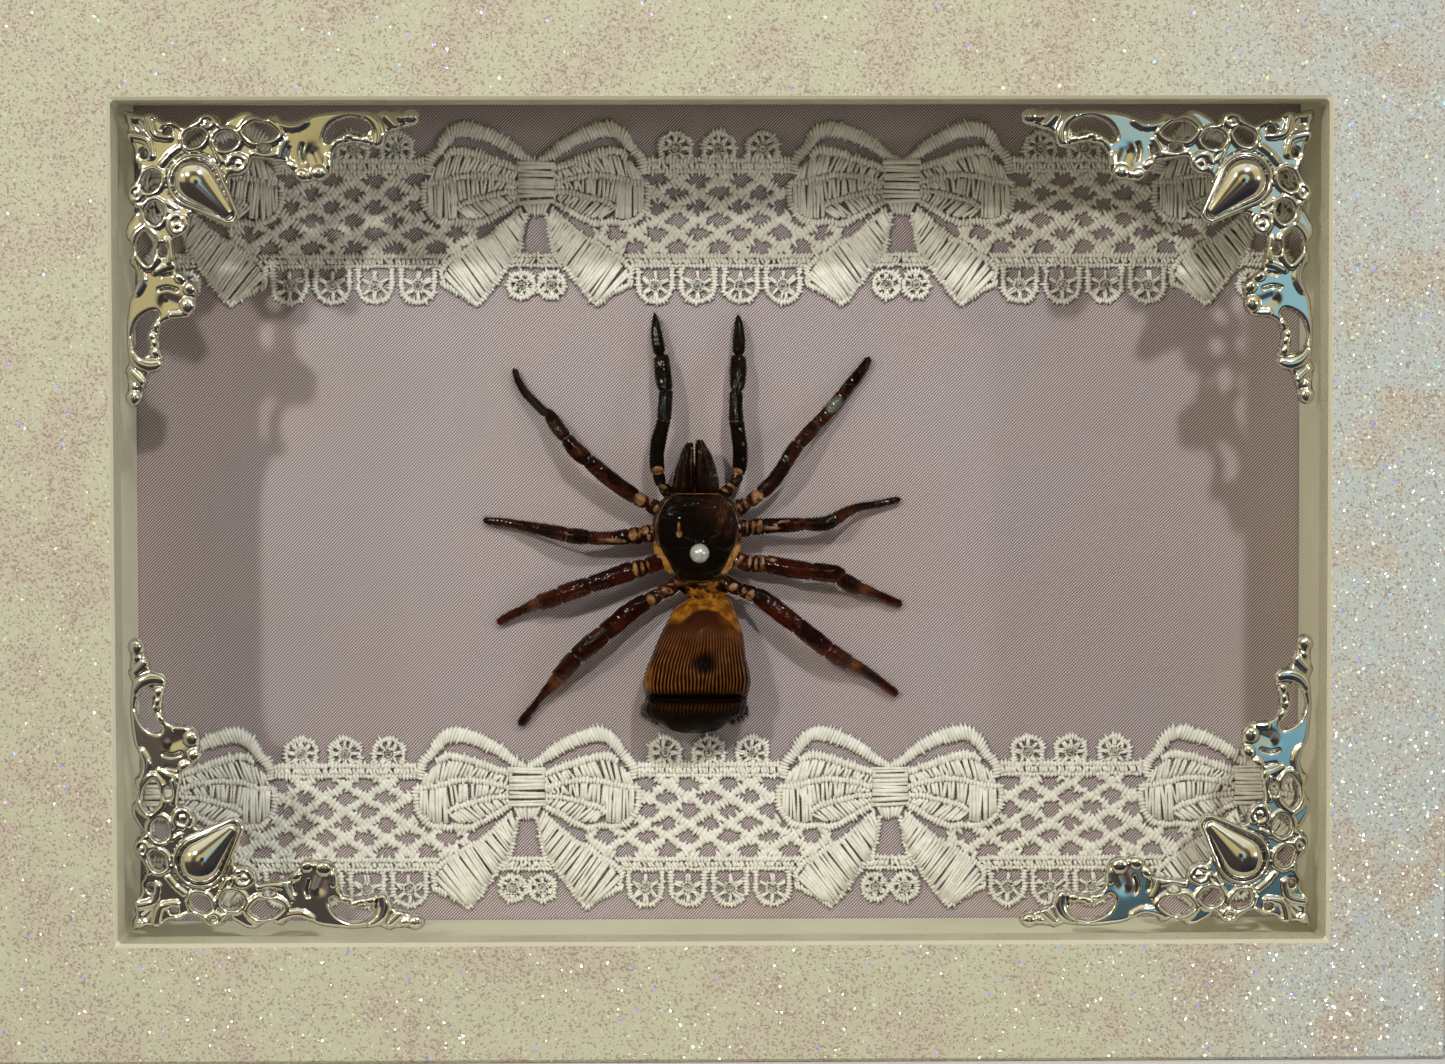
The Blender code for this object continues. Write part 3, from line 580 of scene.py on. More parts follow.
def threads(edge_a, edge_b, pitch, lean, lift, radius=0.26):
    """Single threads laid side by side from one edge to the other, each a thin arched tube."""
    length = evened(edge_a, edge_b, 0)
    count = max(int(round(length / pitch)), 1)
    a, b = evened(edge_a, edge_b, count + 1, 3)
    a, b = (a[:-1] + a[1:]) / 2, (b[:-1] + b[1:]) / 2
    along = np.gradient(a + b, axis=0) if count > 1 else np.ones_like(a)
    along = along / np.maximum(np.linalg.norm(along, axis=1, keepdims=True), 1e-6)
    b = b + along * (lean * pitch / 0.6 + draw.normal(0, 0.14, (count, 1)))
    a = a + along * draw.normal(0, 0.15, (count, 1))
    keep = (np.abs(a[:, 0]) < LACE_CUT) & (np.abs(b[:, 0]) < LACE_CUT)
    if not keep.any():
        return None
    a, b = a[keep][:, None, None], b[keep][:, None, None]
    share = np.linspace(0, 1, 4)[None, :, None, None]
    turn = (np.arange(5) * math.tau / 5 + 0.3)[None, None, :, None]
    side = (b - a)[..., ::-1] * (1, -1)
    side = side / np.linalg.norm(side, axis=-1, keepdims=True)
    size = radius * (1 + draw.normal(0, 0.16, (len(a), 1, 1, 1)))
    flat = a + (b - a) * share + side * np.cos(turn) * size
    high = lift * (0.65 + 0.35 * np.sin(share * math.pi)) + np.sin(turn) * size
    high = high + draw.normal(0, 0.05, (len(a), 1, 1, 1))
    # Painted shade on the underside of each thread.
    sunk = 0.42 - 0.42 * np.sin(turn) + 0 * high
    return (*tubes(placed(flat, high[..., 0])), {"sunk": sunk.ravel()})


def shifted(edge, x, z, mirror=1):
    """Points of the pattern, mirrored or not, moved to (x, z)."""
    return np.asarray(edge, float) * (mirror, 1) + (x, z)


def ringed(centre, radius, width, start=0.0, sweep=360.0, scallop=0.0):
    """The two edges of a cord that runs round a centre, the outer one with six low scallops."""
    angle = np.radians(start + np.linspace(0, sweep, 40))
    around = np.stack([np.cos(angle), np.sin(angle)], -1)
    outer = radius + width / 2 + scallop * np.cos(6 * (angle - math.pi / 2))
    return np.asarray(centre) + around * (radius - width / 2), np.asarray(centre) + around * outer[:, None]


def spokes(centre, inner, outer, angles, radius=0.21):
    """Short threads from a small ring out to a large one, two strands to a spoke."""
    shells = []
    for angle in angles:
        way = np.array([math.cos(math.radians(angle)), math.sin(math.radians(angle))])
        side = np.array([-way[1], way[0]]) * 0.17
        start, end = np.asarray(centre) + way * inner, np.asarray(centre) + way * outer
        shells.append(threads([start - side, start + side], [end - side, end + side], 0.17, 0, 0.5, radius))
    return shells


def eye(centre, radius, angles, start=0.0, sweep=360.0, scallop=0.0, post=0.0):
    """An eye or flower of the border: a cord round it, a small ring round the stone, and spokes between.
    With a `post` the cord's two ends run straight up to the border that much above the centre."""
    edges = ringed(centre, radius, EYE_CORD, start, sweep, scallop)
    if post:
        reaches = (radius - EYE_CORD / 2, radius + EYE_CORD / 2)
        tops = ([shifted((side * reach, post), *centre)] for reach in reaches for side in (-1, 1))
        edges = [np.concatenate([next(tops), edge, next(tops)]) for edge in edges]
    shells = [cord(*edges, 0.72, 0.46, 0.09), cord(*ringed(centre, 0.86, 0.42), 0.62, 0.36, 0.03)]
    return shells + spokes(centre, 0.95, radius - 0.3, angles)


def bow(x, z):
    """One bow: the cords and leaves of the right half, the same mirrored, the knot, and two eyes below."""
    shells = []
    for mirror in (1, -1):
        for make, table in ((cord, BOW_CORDS), (threads, BOW_LEAVES)):
            for *edges, sizes in table:
                shells.append(make(*(shifted(edge, x, z, mirror) for edge in edges), *sizes))
        shells += eye((x + BOW_EYE[0] * mirror, z + BOW_EYE[1]), 1.85, (90, 30, -30, -90, -150, 150))
    shells.append(threads(shifted(KNOT[0], x, z), shifted(KNOT[1], x, z), *KNOT[2], radius=0.30))
    return shells


def net(x, z):
    """Crossed cords on two slopes through nodes six millimetres apart, kept where the bows' edges allow."""
    shells = []
    for slope in (NET_SLOPE, -NET_SLOPE):
        for number in range(-4, 5):
            across = np.linspace(-18, 18, 721)
            height = NET_NODE + slope * (across - NET_PITCH * number)
            free = LACE_REPEAT / 2 - np.interp(height, *BOW_EDGE)
            inside = (np.abs(across) < free) & (height > NET_LOW) & (height < NET_HIGH)
            ends = np.flatnonzero(np.diff(np.concatenate([[0], inside, [0]])))
            for first, last in ends.reshape(-1, 2):
                if last - first < 24:
                    continue
                way = np.array([1, slope]) / math.hypot(1, slope)
                side = np.array([-way[1], way[0]]) * 0.74
                line = np.stack([across[first:last:6], height[first:last:6]], -1) + (x, z)
                shells.append(cord(line - side, line + side, 0.58, 0.60, 0.20))
    return shells


# The straight borders of a gap: how each is made, the half length and height of its two edges, its sizes.
BORDERS = [
    (cord, (10.4, 20.3), (10.4, 19.4), (0.7,)), (threads, (10.4, 21.0), (10.4, 20.1), (0.5, 0.2, 0.5)),
    (cord, (10.4, 21.9), (10.4, 20.8), (0.75,)), (cord, (14.0, 8.0), (13.4, 7.0), (0.7,)),
    (threads, (13.2, 7.1), (13.0, 6.4), (0.62, 0.4, 0.45)), (cord, (12.9, 6.5), (12.6, 5.7), (0.7,))]


def gap(x, z):
    """Between two bows: the net, the border above it with three flowers, and the border below with eyes."""
    shells = net(x, z)
    for make, upper, lower, sizes in BORDERS:
        edges = ([(x - half, z + high), (x + half, z + high)] for half, high in (upper, lower))
        shells.append(make(*edges, *sizes))
    for off in FLOWERS:
        angles = (50, 90, 130, 175, 230, 270, 310, 5)
        shells += eye((x + off, z + FLOWER_HIGH), 2.22, angles, start=-40, sweep=260, scallop=0.16)
    for off in EYES:
        angles = (90, 27, -35, -90, -145, 153)
        shells += eye((x + off, z + EYE_HIGH), 2.42, angles, start=180, sweep=180, post=2.6)
    return shells


def thread_finish():
    """Pale thread, darkened by the mark `sunk` as painted shade in the valleys between stitches and under
    each thread.
    """
    material, place = finish("lace_thread", Roughness=0.7, Sheen_Weight=0.2, Sheen_Roughness=0.5)
    fibre = place.noise(5200.0)
    shade = place.noise(900.0, 1.0)
    colour = (shade * 0.6 + fibre * 0.4).between(0.3, 0.7).mixed(THREAD_DULL, THREAD_PALE)
    colour = (place.mark("sunk") * 0.26).mixed(colour, (0.24, 0.21, 0.175))
    set_finish(material, Base_Color=colour, Normal=fibre.bump(0.6, 0.08 * MM))
    return material


def stone_finish():
    """Foil-backed glass: each facet catches a tone of its own."""
    material, place = finish("glass_stone", Metallic=0.85, Roughness=0.12)
    tone = place.cells(900.0).part("X")
    set_finish(material, Base_Color=tone.mixed((0.50, 0.48, 0.44), (0.92, 0.92, 0.92)))
    return material


def stones(centres):
    """Faceted domes: eight sides, three rings, each ring turned by half a facet against the last."""
    centres = np.asarray(centres)[:, None, None]
    radius = np.array([1.0, 0.97, 0.62, 0.28])[None, :, None] * STONE_RADIUS
    lift = np.array([0.15, 0.5, 0.88, 0.98])[None, :, None]
    turn = (np.arange(8)[None, None, :] + np.arange(4)[None, :, None] * 0.5) * math.tau / 8
    flat = centres + np.stack([np.cos(turn) * radius, np.sin(turn) * radius], -1)
    high = np.broadcast_to(lift, flat.shape[:3])
    return (*tubes(placed(flat, high)), {})


def lace_band(node, knot):
    """One band: bows at every repeat from `knot`, gaps half way between, both cut at the liner."""
    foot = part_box(node)[0].z / MM
    shells, centres = [], []
    for number in range(-3, 4):
        x = knot + number * LACE_REPEAT
        if abs(x) < LACE_CUT + BOW_HALF:
            shells += bow(x, foot)
            centres += [(x + off, foot + BOW_EYE[1]) for off in (-BOW_EYE[0], BOW_EYE[0])]
        x += LACE_REPEAT / 2
        if abs(x) < LACE_CUT + GAP_HALF:
            shells += gap(x, foot)
            centres += [(x + off, foot + EYE_HIGH) for off in EYES]
            centres += [(x + off, foot + FLOWER_HIGH) for off in FLOWERS]
    return [shell for shell in shells if shell], [at for at in centres if abs(at[0]) < LACE_CUT - 1]


thread, stone = thread_finish(), stone_finish()
for node, knot in (("lace_lower", -28.2), ("lace_upper", -26.5)):
    shells, centres = lace_band(node, knot)
    name = node.replace("lace", "corded_lace")
    band = piece(name, shells, thread, "lace_thread", [node], marks=("sunk",))
    low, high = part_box(node)
    piece(node.replace("lace", "lace_stones"), [stones(centres)], stone, "lace_thread", smooth=False)


# Corners: four cast filigree ornaments with bright plating, glued to the pane by their flat backs. They
# are one pattern, the same on both arms and turned or mirrored for each corner: pierced scrolls with a
# rounded relief, an acanthus leaf, a crescent tip, and a pear-shaped stone in a rim, cast in one piece.
CAST_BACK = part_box("corner_top_left")[1].y
CAST_GRID = 0.14
CAST_EDGE, CAST_RISE, CAST_ROUND, CAST_TOP = 0.42, 0.68, 0.55, 2.75
# One arm in millimetres from the corner: distance along the arm, then distance across it.
ARM_OUTLINE = [
    (0.25, 0.25), (1.4, 0.35), (2.4, 0.8), (3.17, 0.6), (4.19, 0.7), (5.45, 1.57), (6.9, 1.72),
    (8.3, 2.44), (9.57, 1.89), (10.5, 0.94), (11.8, 0.69), (12.9, 0.94), (13.4, 1.57), (13.7, 2.2),
    (14.3, 1.57), (15.3, 0.94), (16.2, 0.45), (17.5, 0.39), (18.4, 0.94), (19.5, 1.4), (20.0, 1.1),
    (21.1, 0.77), (21.9, 1.4), (23.1, 1.8), (24.6, 1.5), (26.0, 0.87), (27.4, 0.58), (30.2, 0.3),
    (33.0, 0.37), (34.5, 0.58), (35.9, 0.05), (36.7, 0.3), (38.4, 0.37), (39.2, 0.05), (40.2, 0.23),
    (40.8, 1.0), (40.6, 1.85), (39.8, 2.4), (38.7, 2.5), (37.7, 2.97), (36.4, 3.4), (35.9, 4.65),
    (35.2, 5.36), (33.9, 5.3), (32.8, 4.94), (31.1, 4.8), (29.7, 5.2), (29.1, 5.8), (28.8, 6.9),
    (28.7, 8.2), (28.3, 9.2), (27.3, 9.9), (26.0, 9.86), (25.2, 10.1), (24.1, 9.86), (23.2, 8.87),
    (22.5, 8.0), (22.1, 7.3), (21.1, 7.3), (19.0, 6.9), (17.8, 6.9), (17.5, 7.9), (16.5, 9.0), (15.3, 9.3),
    (14.6, 9.5), (14.2, 12.0), (12.0, 20.0), (-5.0, 20.0), (-5.0, 5.0), (0.1, 0.4)]
ARM_HOLES = [
    [(5.7, 3.02), (5.85, 2.75), (6.19, 2.66), (6.55, 2.75), (6.67, 3.02), (6.5, 3.3), (6.19, 3.38),
     (5.85, 3.3)],
    [(8.56, 4.18), (8.8, 3.45), (9.43, 3.02), (10.2, 2.8), (10.9, 2.88), (11.3, 3.6), (10.9, 4.4),
     (10.3, 4.9), (9.0, 5.05)],
    [(12.76, 4.47), (13.0, 3.75), (13.63, 3.3), (14.4, 3.2), (15.1, 3.46), (15.7, 4.47), (14.9, 5.3),
     (13.9, 5.5), (13.2, 5.3)],
    [(16.7, 3.0), (17.4, 2.3), (18.4, 1.95), (19.4, 2.05), (20.2, 2.44), (21.2, 3.46), (19.9, 4.18),
     (18.8, 4.4), (17.8, 4.18)],
    [(27.7, 4.24), (28.0, 3.1), (28.8, 2.1), (30.0, 1.5), (31.1, 1.2), (32.3, 1.4), (33.5, 2.0),
     (33.75, 2.7), (33.2, 3.4), (32.3, 3.25), (31.4, 3.15), (30.5, 3.25), (29.7, 3.7), (28.8, 4.2),
     (28.3, 4.65)], [(18.6, 5.3), (19.3, 4.95), (20.1, 5.2), (19.9, 5.75), (19.1, 5.95)]]
# Rounded ridges, each a line with its radius and its rise over the plate.
ARM_RIDGES = [
    ([(4.65, 0.85), (3.8, 1.1), (3.9, 2.2), (4.2, 3.2), (4.8, 3.7), (6.4, 3.9)], 0.5, 0.5),
    ([(6.75, 1.65), (8.0, 2.3)], 0.4, 0.35), ([(8.4, 2.6), (9.6, 2.4), (11.4, 1.65)], 0.42, 0.4),
    ([(10.7, 1.95), (11.0, 1.3), (11.7, 1.05), (12.4, 1.4), (12.5, 2.1), (11.9, 2.6), (11.1, 2.5)], 0.36,
     0.55), ([(11.6, 1.95), (11.65, 1.95)], 0.45, 0.5), ([(13.3, 2.3), (13.35, 2.35)], 0.5, 0.5),
    ([(8.2, 4.2), (8.6, 3.2), (9.6, 2.6), (10.9, 2.4), (11.8, 3.3), (11.3, 4.6), (10.4, 5.4), (8.9, 5.5),
      (8.2, 4.2)], 0.34, 0.4),
    ([(12.3, 4.5), (12.7, 3.4), (13.6, 2.85), (15.2, 3.0), (16.2, 4.4), (15.2, 5.7), (13.3, 5.8),
      (12.3, 4.5)], 0.36, 0.4),
    ([(16.2, 3.0), (17.2, 1.85), (18.5, 1.4), (20.4, 1.9), (21.8, 3.4), (20.2, 4.7), (17.6, 4.7),
      (16.2, 3.0)], 0.45, 0.5),
    ([(20.2, 1.4), (21.0, 2.0), (22.5, 2.5), (23.9, 2.5), (25.0, 1.9)], 0.5, 0.45),
    ([(22.9, 7.9), (22.95, 7.9)], 0.7, 0.5), ([(24.5, 9.2), (24.55, 9.2)], 0.75, 0.6),
    ([(28.2, 6.6), (28.2, 7.8)], 0.42, 0.3), ([(26.9, 8.8), (26.95, 8.8)], 0.9, 0.75),
    ([(22.3, 4.4), (21.7, 5.5), (21.4, 6.6)], 0.4, 0.22), ([(31.1, 3.75), (31.15, 3.8)], 0.5, 0.5),
    ([(32.0, 4.2), (32.05, 4.2)], 0.5, 0.5), ([(33.3, 4.3), (33.35, 4.35)], 0.6, 0.6),
    ([(29.7, 4.5), (29.8, 4.4)], 0.45, 0.4),
    ([(33.6, 1.1), (34.7, 2.0), (35.2, 3.4), (35.1, 4.7)], 0.7, 0.65),
    ([(36.1, 1.1), (36.9, 1.9), (37.4, 2.4)], 0.5, 0.45), ([(38.0, 1.2), (38.1, 1.3)], 0.5, 0.4),
    ([(39.5, 1.2), (39.6, 1.25)], 0.85, 0.75),
    ([(14.6, 7.4), (15.0, 6.6), (16.0, 6.5), (16.9, 7.1), (16.8, 8.1), (15.9, 8.6), (15.0, 8.3)], 0.42,
     0.55), ([(15.9, 7.5), (15.95, 7.5)], 0.5, 0.6), ([(18.0, 6.2), (19.6, 6.5), (21.0, 6.3)], 0.4, 0.35),
    ([(12.9, 6.0), (13.6, 7.2)], 0.3, 0.35), ([(14.0, 6.0), (14.4, 6.7)], 0.3, 0.35),
    ([(6.6, 6.2), (7.6, 5.4)], 0.35, 0.35), ([(0.95, 1.3), (1.0, 1.35)], 0.55, 0.5)]
# Sharp grooves and broad hollows cut into the plate, each a line with its radius and its depth.
ARM_GROOVES = [([(24.7, 5.0), (24.5, 6.0), (24.8, 7.2)], 0.24, 0.5),
               ([(26.3, 6.2), (26.8, 7.4)], 1.2, 0.12), ([(22.9, 5.4), (22.7, 6.6)], 0.2, 0.4),
               ([(2.2, 2.0), (2.9, 2.9)], 0.5, 0.25)]
# The stone's rim and its dome: each the pear's radius, the radius of its tip and how far out the tip is.
STONE_MIDDLE, STONE_RIM, STONE_DOME = 9.9, (3.85, 1.4, 15.5), (2.95, 1.0, 14.75)


def smooth_between(before, start, end, after, t):
    """A cubic curve from `start` to `end` at the share `t`; its slopes follow the points on each side."""
    return 0.5 * (2 * start + (end - before) * t + (2 * before - 5 * start + 4 * end - after) * t ** 2
                  + (3 * start - before - 3 * end + after) * t ** 3)


def rounded(line, closed=False, cuts=5):
    """A polyline's points joined by a smooth curve through them; a line of two points stays as it is."""
    line = np.asarray(line, float)
    if len(line) < 3:
        return line
    if closed:
        before, start, end, after = (np.roll(line, shift, axis=0) for shift in (1, 0, -1, -2))
    else:
        padded = np.concatenate([line[:1], line, line[-1:]])
        before, start, end, after = padded[:-3], padded[1:-2], padded[2:-1], padded[3:]
    t = np.linspace(0, 1, cuts, endpoint=False)[None, :, None]
    curve = smooth_between(*(point[:, None] for point in (before, start, end, after)), t).reshape(-1, 2)
    return curve if closed else np.concatenate([curve, line[-1:]])


def away(points, line, closed=False):
    """Distance from each point to a polyline, worked out in slices to spare memory."""
    start = np.asarray(line, float)
    end = np.roll(start, -1, axis=0)
    if not closed:
        start, end = start[:-1], end[:-1]
    run = end - start
    size = np.maximum((run ** 2).sum(-1), 1e-9)
    nearest = np.full(len(points), 1e9)
    for first in range(0, len(start), 16):
        part = slice(first, first + 16)
        gone = points[:, None] - start[None, part]
        share = np.clip((gone * run[part]).sum(-1) / size[part], 0, 1)
        gone = gone - share[..., None] * run[part]
        nearest = np.minimum(nearest, (gone ** 2).sum(-1).min(-1))
    return np.sqrt(nearest)


def within(points, line):
    """True where a point lies inside a closed polyline, by counting the edges crossed on the way out."""
    inside = np.zeros(len(points), bool)
    x, y = points.T
    for (x0, y0), (x1, y1) in zip(line, np.roll(line, -1, axis=0)):
        if y0 != y1:
            inside ^= ((y0 > y) != (y1 > y)) & (x < (x1 - x0) * (y - y0) / (y1 - y0) + x0)
    return inside


def pear_place(points, radius, tip_radius, tip):
    """Where points lie along and across the pear's axis, how far off its tip's circle is, and its taper."""
    off = points - STONE_MIDDLE
    along, across = (off[:, 0] + off[:, 1]) / math.sqrt(2), np.abs(off[:, 0] - off[:, 1]) / math.sqrt(2)
    height = (tip - STONE_MIDDLE) * math.sqrt(2) - tip_radius
    return along, across, height, (radius - tip_radius) / height


def pear(points, radius, tip_radius, tip):
    """Signed distance to a pear: the hull of a circle and a small circle at its tip, on the diagonal."""
    along, across, height, lean = pear_place(points, radius, tip_radius, tip)
    rise = math.sqrt(1 - lean * lean)
    side = across * rise + along * lean
    key = along * rise - across * lean
    beyond = np.where(key > rise * height, np.hypot(across, along - height) - tip_radius, side - radius)
    return np.where(key < 0, np.hypot(across, along) - radius, beyond)


def cabochon(points, radius, tip_radius, tip):
    """A stone's height from 0 to 1: half an ellipse across it, as high as the pear is wide there."""
    along, across, height, lean = pear_place(points, radius, tip_radius, tip)
    wide = np.where(along < radius * lean, np.sqrt(np.maximum(radius ** 2 - along ** 2, 1e-6)),
                    (radius - along * lean) / math.sqrt(1 - lean * lean))
    blunt = np.sqrt(np.maximum(tip_radius ** 2 - (along - height) ** 2, 1e-6))
    wide = np.where(along > height + tip_radius * lean, blunt, wide)
    return np.sqrt(np.clip(1 - (across / wide) ** 2, 0, 1)) * (wide / radius) ** 0.8


def cast_inside(points):
    """How far a point lies inside the casting: positive in the metal, negative in a hole or outside."""
    folded = np.stack([points.max(1), points.min(1)], -1)
    outline = rounded(ARM_OUTLINE, closed=True)
    depth = away(folded, outline, closed=True) * np.where(within(folded, outline), 1, -1)
    for hole in ARM_HOLES:
        hole = rounded(hole, closed=True)
        depth = np.minimum(depth, away(folded, hole, closed=True) * np.where(within(folded, hole), -1, 1))
    return np.maximum(depth, -pear(points, *STONE_RIM))


def ramp(value, start, width):
    """0 at `start` and 1 once `width` past it, straight between; a negative width turns it round."""
    return np.clip((value - start) / width, 0, 1)


def dome(gap, radius):
    """A round ridge's share of its rise at a distance from its line."""
    return np.sqrt(np.clip(1 - (gap / radius) ** 2, 0, 1))


def cast_relief(points, depth):
    """Height over the flat back: a pillow that follows the nearest edge, with ridges and the stone."""
    folded = np.stack([points.max(1), points.min(1)], -1)
    lift = CAST_EDGE + CAST_RISE * dome(1 - np.clip(depth / CAST_ROUND, 0, 1), 1)
    ridges = np.zeros(len(points))
    for line, radius, rise in ARM_RIDGES:
        ridges = np.maximum(ridges, rise * dome(away(folded, rounded(line)), radius * 1.25))
    lift = lift + ridges * 0.85
    for line, radius, sunk in ARM_GROOVES:
        lift = lift - sunk * np.exp(-(away(folded, rounded(line)) / radius) ** 2 * 1.6)
    rim, stone = pear(points, *STONE_RIM), pear(points, *STONE_DOME)
    bezel = 0.75 + 0.85 * dome(rim + 0.34, 0.38) + 0.4 * dome(rim + 0.86, 0.2)
    gem = 0.95 + 1.75 * cabochon(points, *STONE_DOME)
    lift = np.where(rim < 0.1, np.where(stone < 0, gem, bezel), lift)
    return np.minimum(lift, CAST_TOP)


def casting():
    """The corner on an even grid: cells in the metal, their rim moved onto the outline, a relief, a flat
    back. Where the relief is lower than the mean around it, or at a low edge, a mark of painted shade is
    noted."""
    reach = np.arange(-0.6, 42.0, CAST_GRID)
    a, b = np.meshgrid(reach, reach, indexing="ij")
    points = np.stack([a.ravel(), b.ravel()], -1)
    # No metal lies beyond these two lines, so the points out there aren't measured.
    near = (points.min(1) < 10.6) | (points.sum(1) < 32)
    depth = np.full(len(points), -9.0)
    depth[near] = cast_inside(points[near])
    held = depth > -0.35 * CAST_GRID
    quads = grid_quads(len(reach), len(reach))
    quads = quads[held[quads].all(1)]
    edges = np.sort(np.stack([quads, np.roll(quads, -1, 1)], -1).reshape(-1, 2), axis=1)
    edge_names, counts = np.unique(edges, axis=0, return_counts=True)
    rim = np.unique(edge_names[counts == 1])
    step, furthest = 0.02, 0.6 * CAST_GRID
    for _ in range(2):
        here = cast_inside(points[rim])
        slope = [cast_inside(points[rim] + way) - here for way in ((step, 0), (0, step))]
        slope = np.stack(slope, -1) / step
        size = np.maximum((slope ** 2).sum(-1, keepdims=True), 0.2)
        points[rim] -= np.clip(here[:, None] * slope / size, -furthest, furthest)
    used = np.unique(quads)
    name = np.full(len(points), -1)
    name[used] = np.arange(len(used))
    quads, kept = name[quads], points[used]
    inside = np.maximum(cast_inside(kept), 0)
    lift = cast_relief(kept, inside)
    field = np.zeros(len(points))
    field[used] = lift
    field = around = field.reshape(a.shape)
    for axis in (0, 1):
        around = sum(np.roll(around, shift, axis) for shift in range(-3, 4)) / 7
    # Painted shade: darker where the relief sinks below the mean around it, and along the low edges.
    shaded_hollow = np.clip((around - field).ravel()[used] / 0.16 - 0.55, 0, 1)
    shaded_hollow = shaded_hollow + 0.4 * ramp(lift, 0.55, -0.15)
    pairs = np.stack([quads, np.roll(quads, -1, 1)], -1).reshape(-1, 2)
    order = np.sort(pairs, axis=1)
    _, back, counts = np.unique(order, axis=0, return_inverse=True, return_counts=True)
    border = pairs[counts[back.ravel()] == 1]
    size = len(kept)
    walls = np.stack([border[:, 0], border[:, 0] + size, border[:, 1] + size, border[:, 1]], -1)
    return kept, lift, np.concatenate([quads, quads[:, ::-1] + size, walls]), np.minimum(shaded_hollow, 1)


def plating_finish():
    """Mirror plating, turned dark brown by painted shade where the relief sinks and along its low edges."""
    material, place = finish("bright_plating", Metallic=1.0)
    wear, shaded_hollow = place.noise(700.0), place.mark("shaded_hollow")
    # The mark paints shade: there the plating turns dark brown and rougher.
    set_finish(material, Base_Color=(shaded_hollow * 0.95).mixed((0.86, 0.835, 0.765), (0.05, 0.03, 0.02)),
               Roughness=0.06 + 0.06 * wear + 0.2 * shaded_hollow)
    return material


plating = plating_finish()
cast_points, cast_lift, cast_quads, cast_shade = casting()
CORNERS = {"top_left": (-1, 1), "top_right": (1, 1), "bottom_left": (-1, -1), "bottom_right": (1, -1)}
for name, (side, top) in CORNERS.items():
    low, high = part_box("corner_" + name)
    corner_x = low.x if side < 0 else high.x
    corner_z = high.z if top > 0 else low.z
    x = corner_x - side * cast_points[:, 0] * MM
    z = corner_z - top * cast_points[:, 1] * MM
    front = np.stack([x, CAST_BACK - cast_lift * MM, z], -1)
    back = np.stack([x, np.full(len(x), CAST_BACK), z], -1)
    quads = cast_quads if side * top > 0 else cast_quads[:, ::-1]
    shell = (np.concatenate([front, back]), quads, NO_TRIANGLES, {"shaded_hollow": np.tile(cast_shade, 2)})
    piece("filigree_" + name, [shell], plating, "bright_plating", ["corner_" + name], marks=("shaded_hollow",))


# Trunk: the spider is dried flat on its belly, and its parts are placed by the sight lines of the
# photograph at their own heights over the satin. Under the shield lies the trunk: dark skin with an
# orange band at its sides, and golden flaps of bare skin beside the shield's rear.
PIXEL = 0.1456  # millimetres across one pixel of the photograph, as deep in the box as the spider
SHELL_MARKS = ("warm", "tan", "pale")
# A body's stations: pixel row, axis, half width, then the lifts of its back and its belly in millimetres.
TRUNK = [(492, 697, 22, 6.0, 3.0), (496, 697, 31, 6.2, 2.2), (503, 697.5, 40, 6.3, 1.6),
         (512, 697.3, 43.6, 6.3, 1.2), (522, 697.3, 45.0, 6.2, 1.0), (533, 697.3, 45.4, 6.2, 1.0),
         (545, 697.0, 43.8, 6.1, 1.0), (556, 697.2, 42.0, 6.0, 1.0), (565, 697.5, 36.5, 5.8, 1.2),
         (572, 698.0, 30.0, 5.5, 1.6), (579, 699, 24, 5.2, 2.0), (586, 701, 18, 5.0, 2.4),
         (590, 702, 9, 4.4, 2.8)]


def ripples(seed, reach, *along):
    """Smooth noise, mostly from -1 to 1: a sum of eight sine waves with ways and phases drawn by `seed`."""
    wave = np.random.default_rng(seed)
    total = 0
    for _ in range(8):
        turn = wave.normal(0, 1, len(along))
        total = total + np.sin(sum(t * a for t, a in zip(turn, along)) * reach + wave.uniform(0, math.tau))
    return total / 5


def stationed(stations, count):
    """A table of stations along a body, drawn out into `count` rows by a smooth curve through them."""
    stations = np.asarray(stations, float)
    before, after = 2 * stations[:1] - stations[1:2], 2 * stations[-1:] - stations[-2:-1]
    padded = np.concatenate([before, stations, after])
    at = np.linspace(0, len(stations) - 1.000001, count)
    number = at.astype(int)
    t = (at - number)[:, None]
    return smooth_between(*(padded[number + shift] for shift in range(4)), t)


def body(rows, top_sides, low_sides, square=0.8):
    """A body from rows of (pixel row, axis, half width, back, belly): an upper arc and a flatter lower one.
    Returns pixel columns, pixel rows and lifts in millimetres on a grid [row, side], and the side's turn.
    Back and belly are lifts too."""
    turn = np.concatenate([np.linspace(0, math.pi, top_sides, endpoint=False),
                           np.linspace(math.pi, math.tau, low_sides, endpoint=False)])[None]
    level, axis, half, back, belly = (column[:, None] for column in rows.T)
    reach = np.sign(np.cos(turn)) * np.abs(np.cos(turn)) ** 0.9
    rise = np.sign(np.sin(turn)) * np.abs(np.sin(turn)) ** square
    middle = belly + (back - belly) * 0.42
    lift = middle + np.where(rise > 0, (back - middle) * rise, (middle - belly) * rise)
    return axis + half * reach, level + 0 * turn, lift, turn + 0 * level


def skin(u, v, lift, marks):
    """One closed body through the satin's sight lines, with its marks."""
    points, quads, triangles = tubes(over_satin(u, v, lift * MM)[None])
    return points, quads, triangles, {name: np.asarray(mark, float).ravel() for name, mark in marks.items()}


def blot(u, v, centre, across, tall, soft=0.35, lean=0.0):
    """1 inside an ellipse of pixels and 0 outside it, with a soft edge, turned by `lean` degrees."""
    turn = math.radians(lean)
    x, y = u - centre[0], v - centre[1]
    x, y = x * math.cos(turn) + y * math.sin(turn), y * math.cos(turn) - x * math.sin(turn)
    return np.clip((1 + soft - np.hypot(x / across, y / tall)) / (2 * soft), 0, 1)


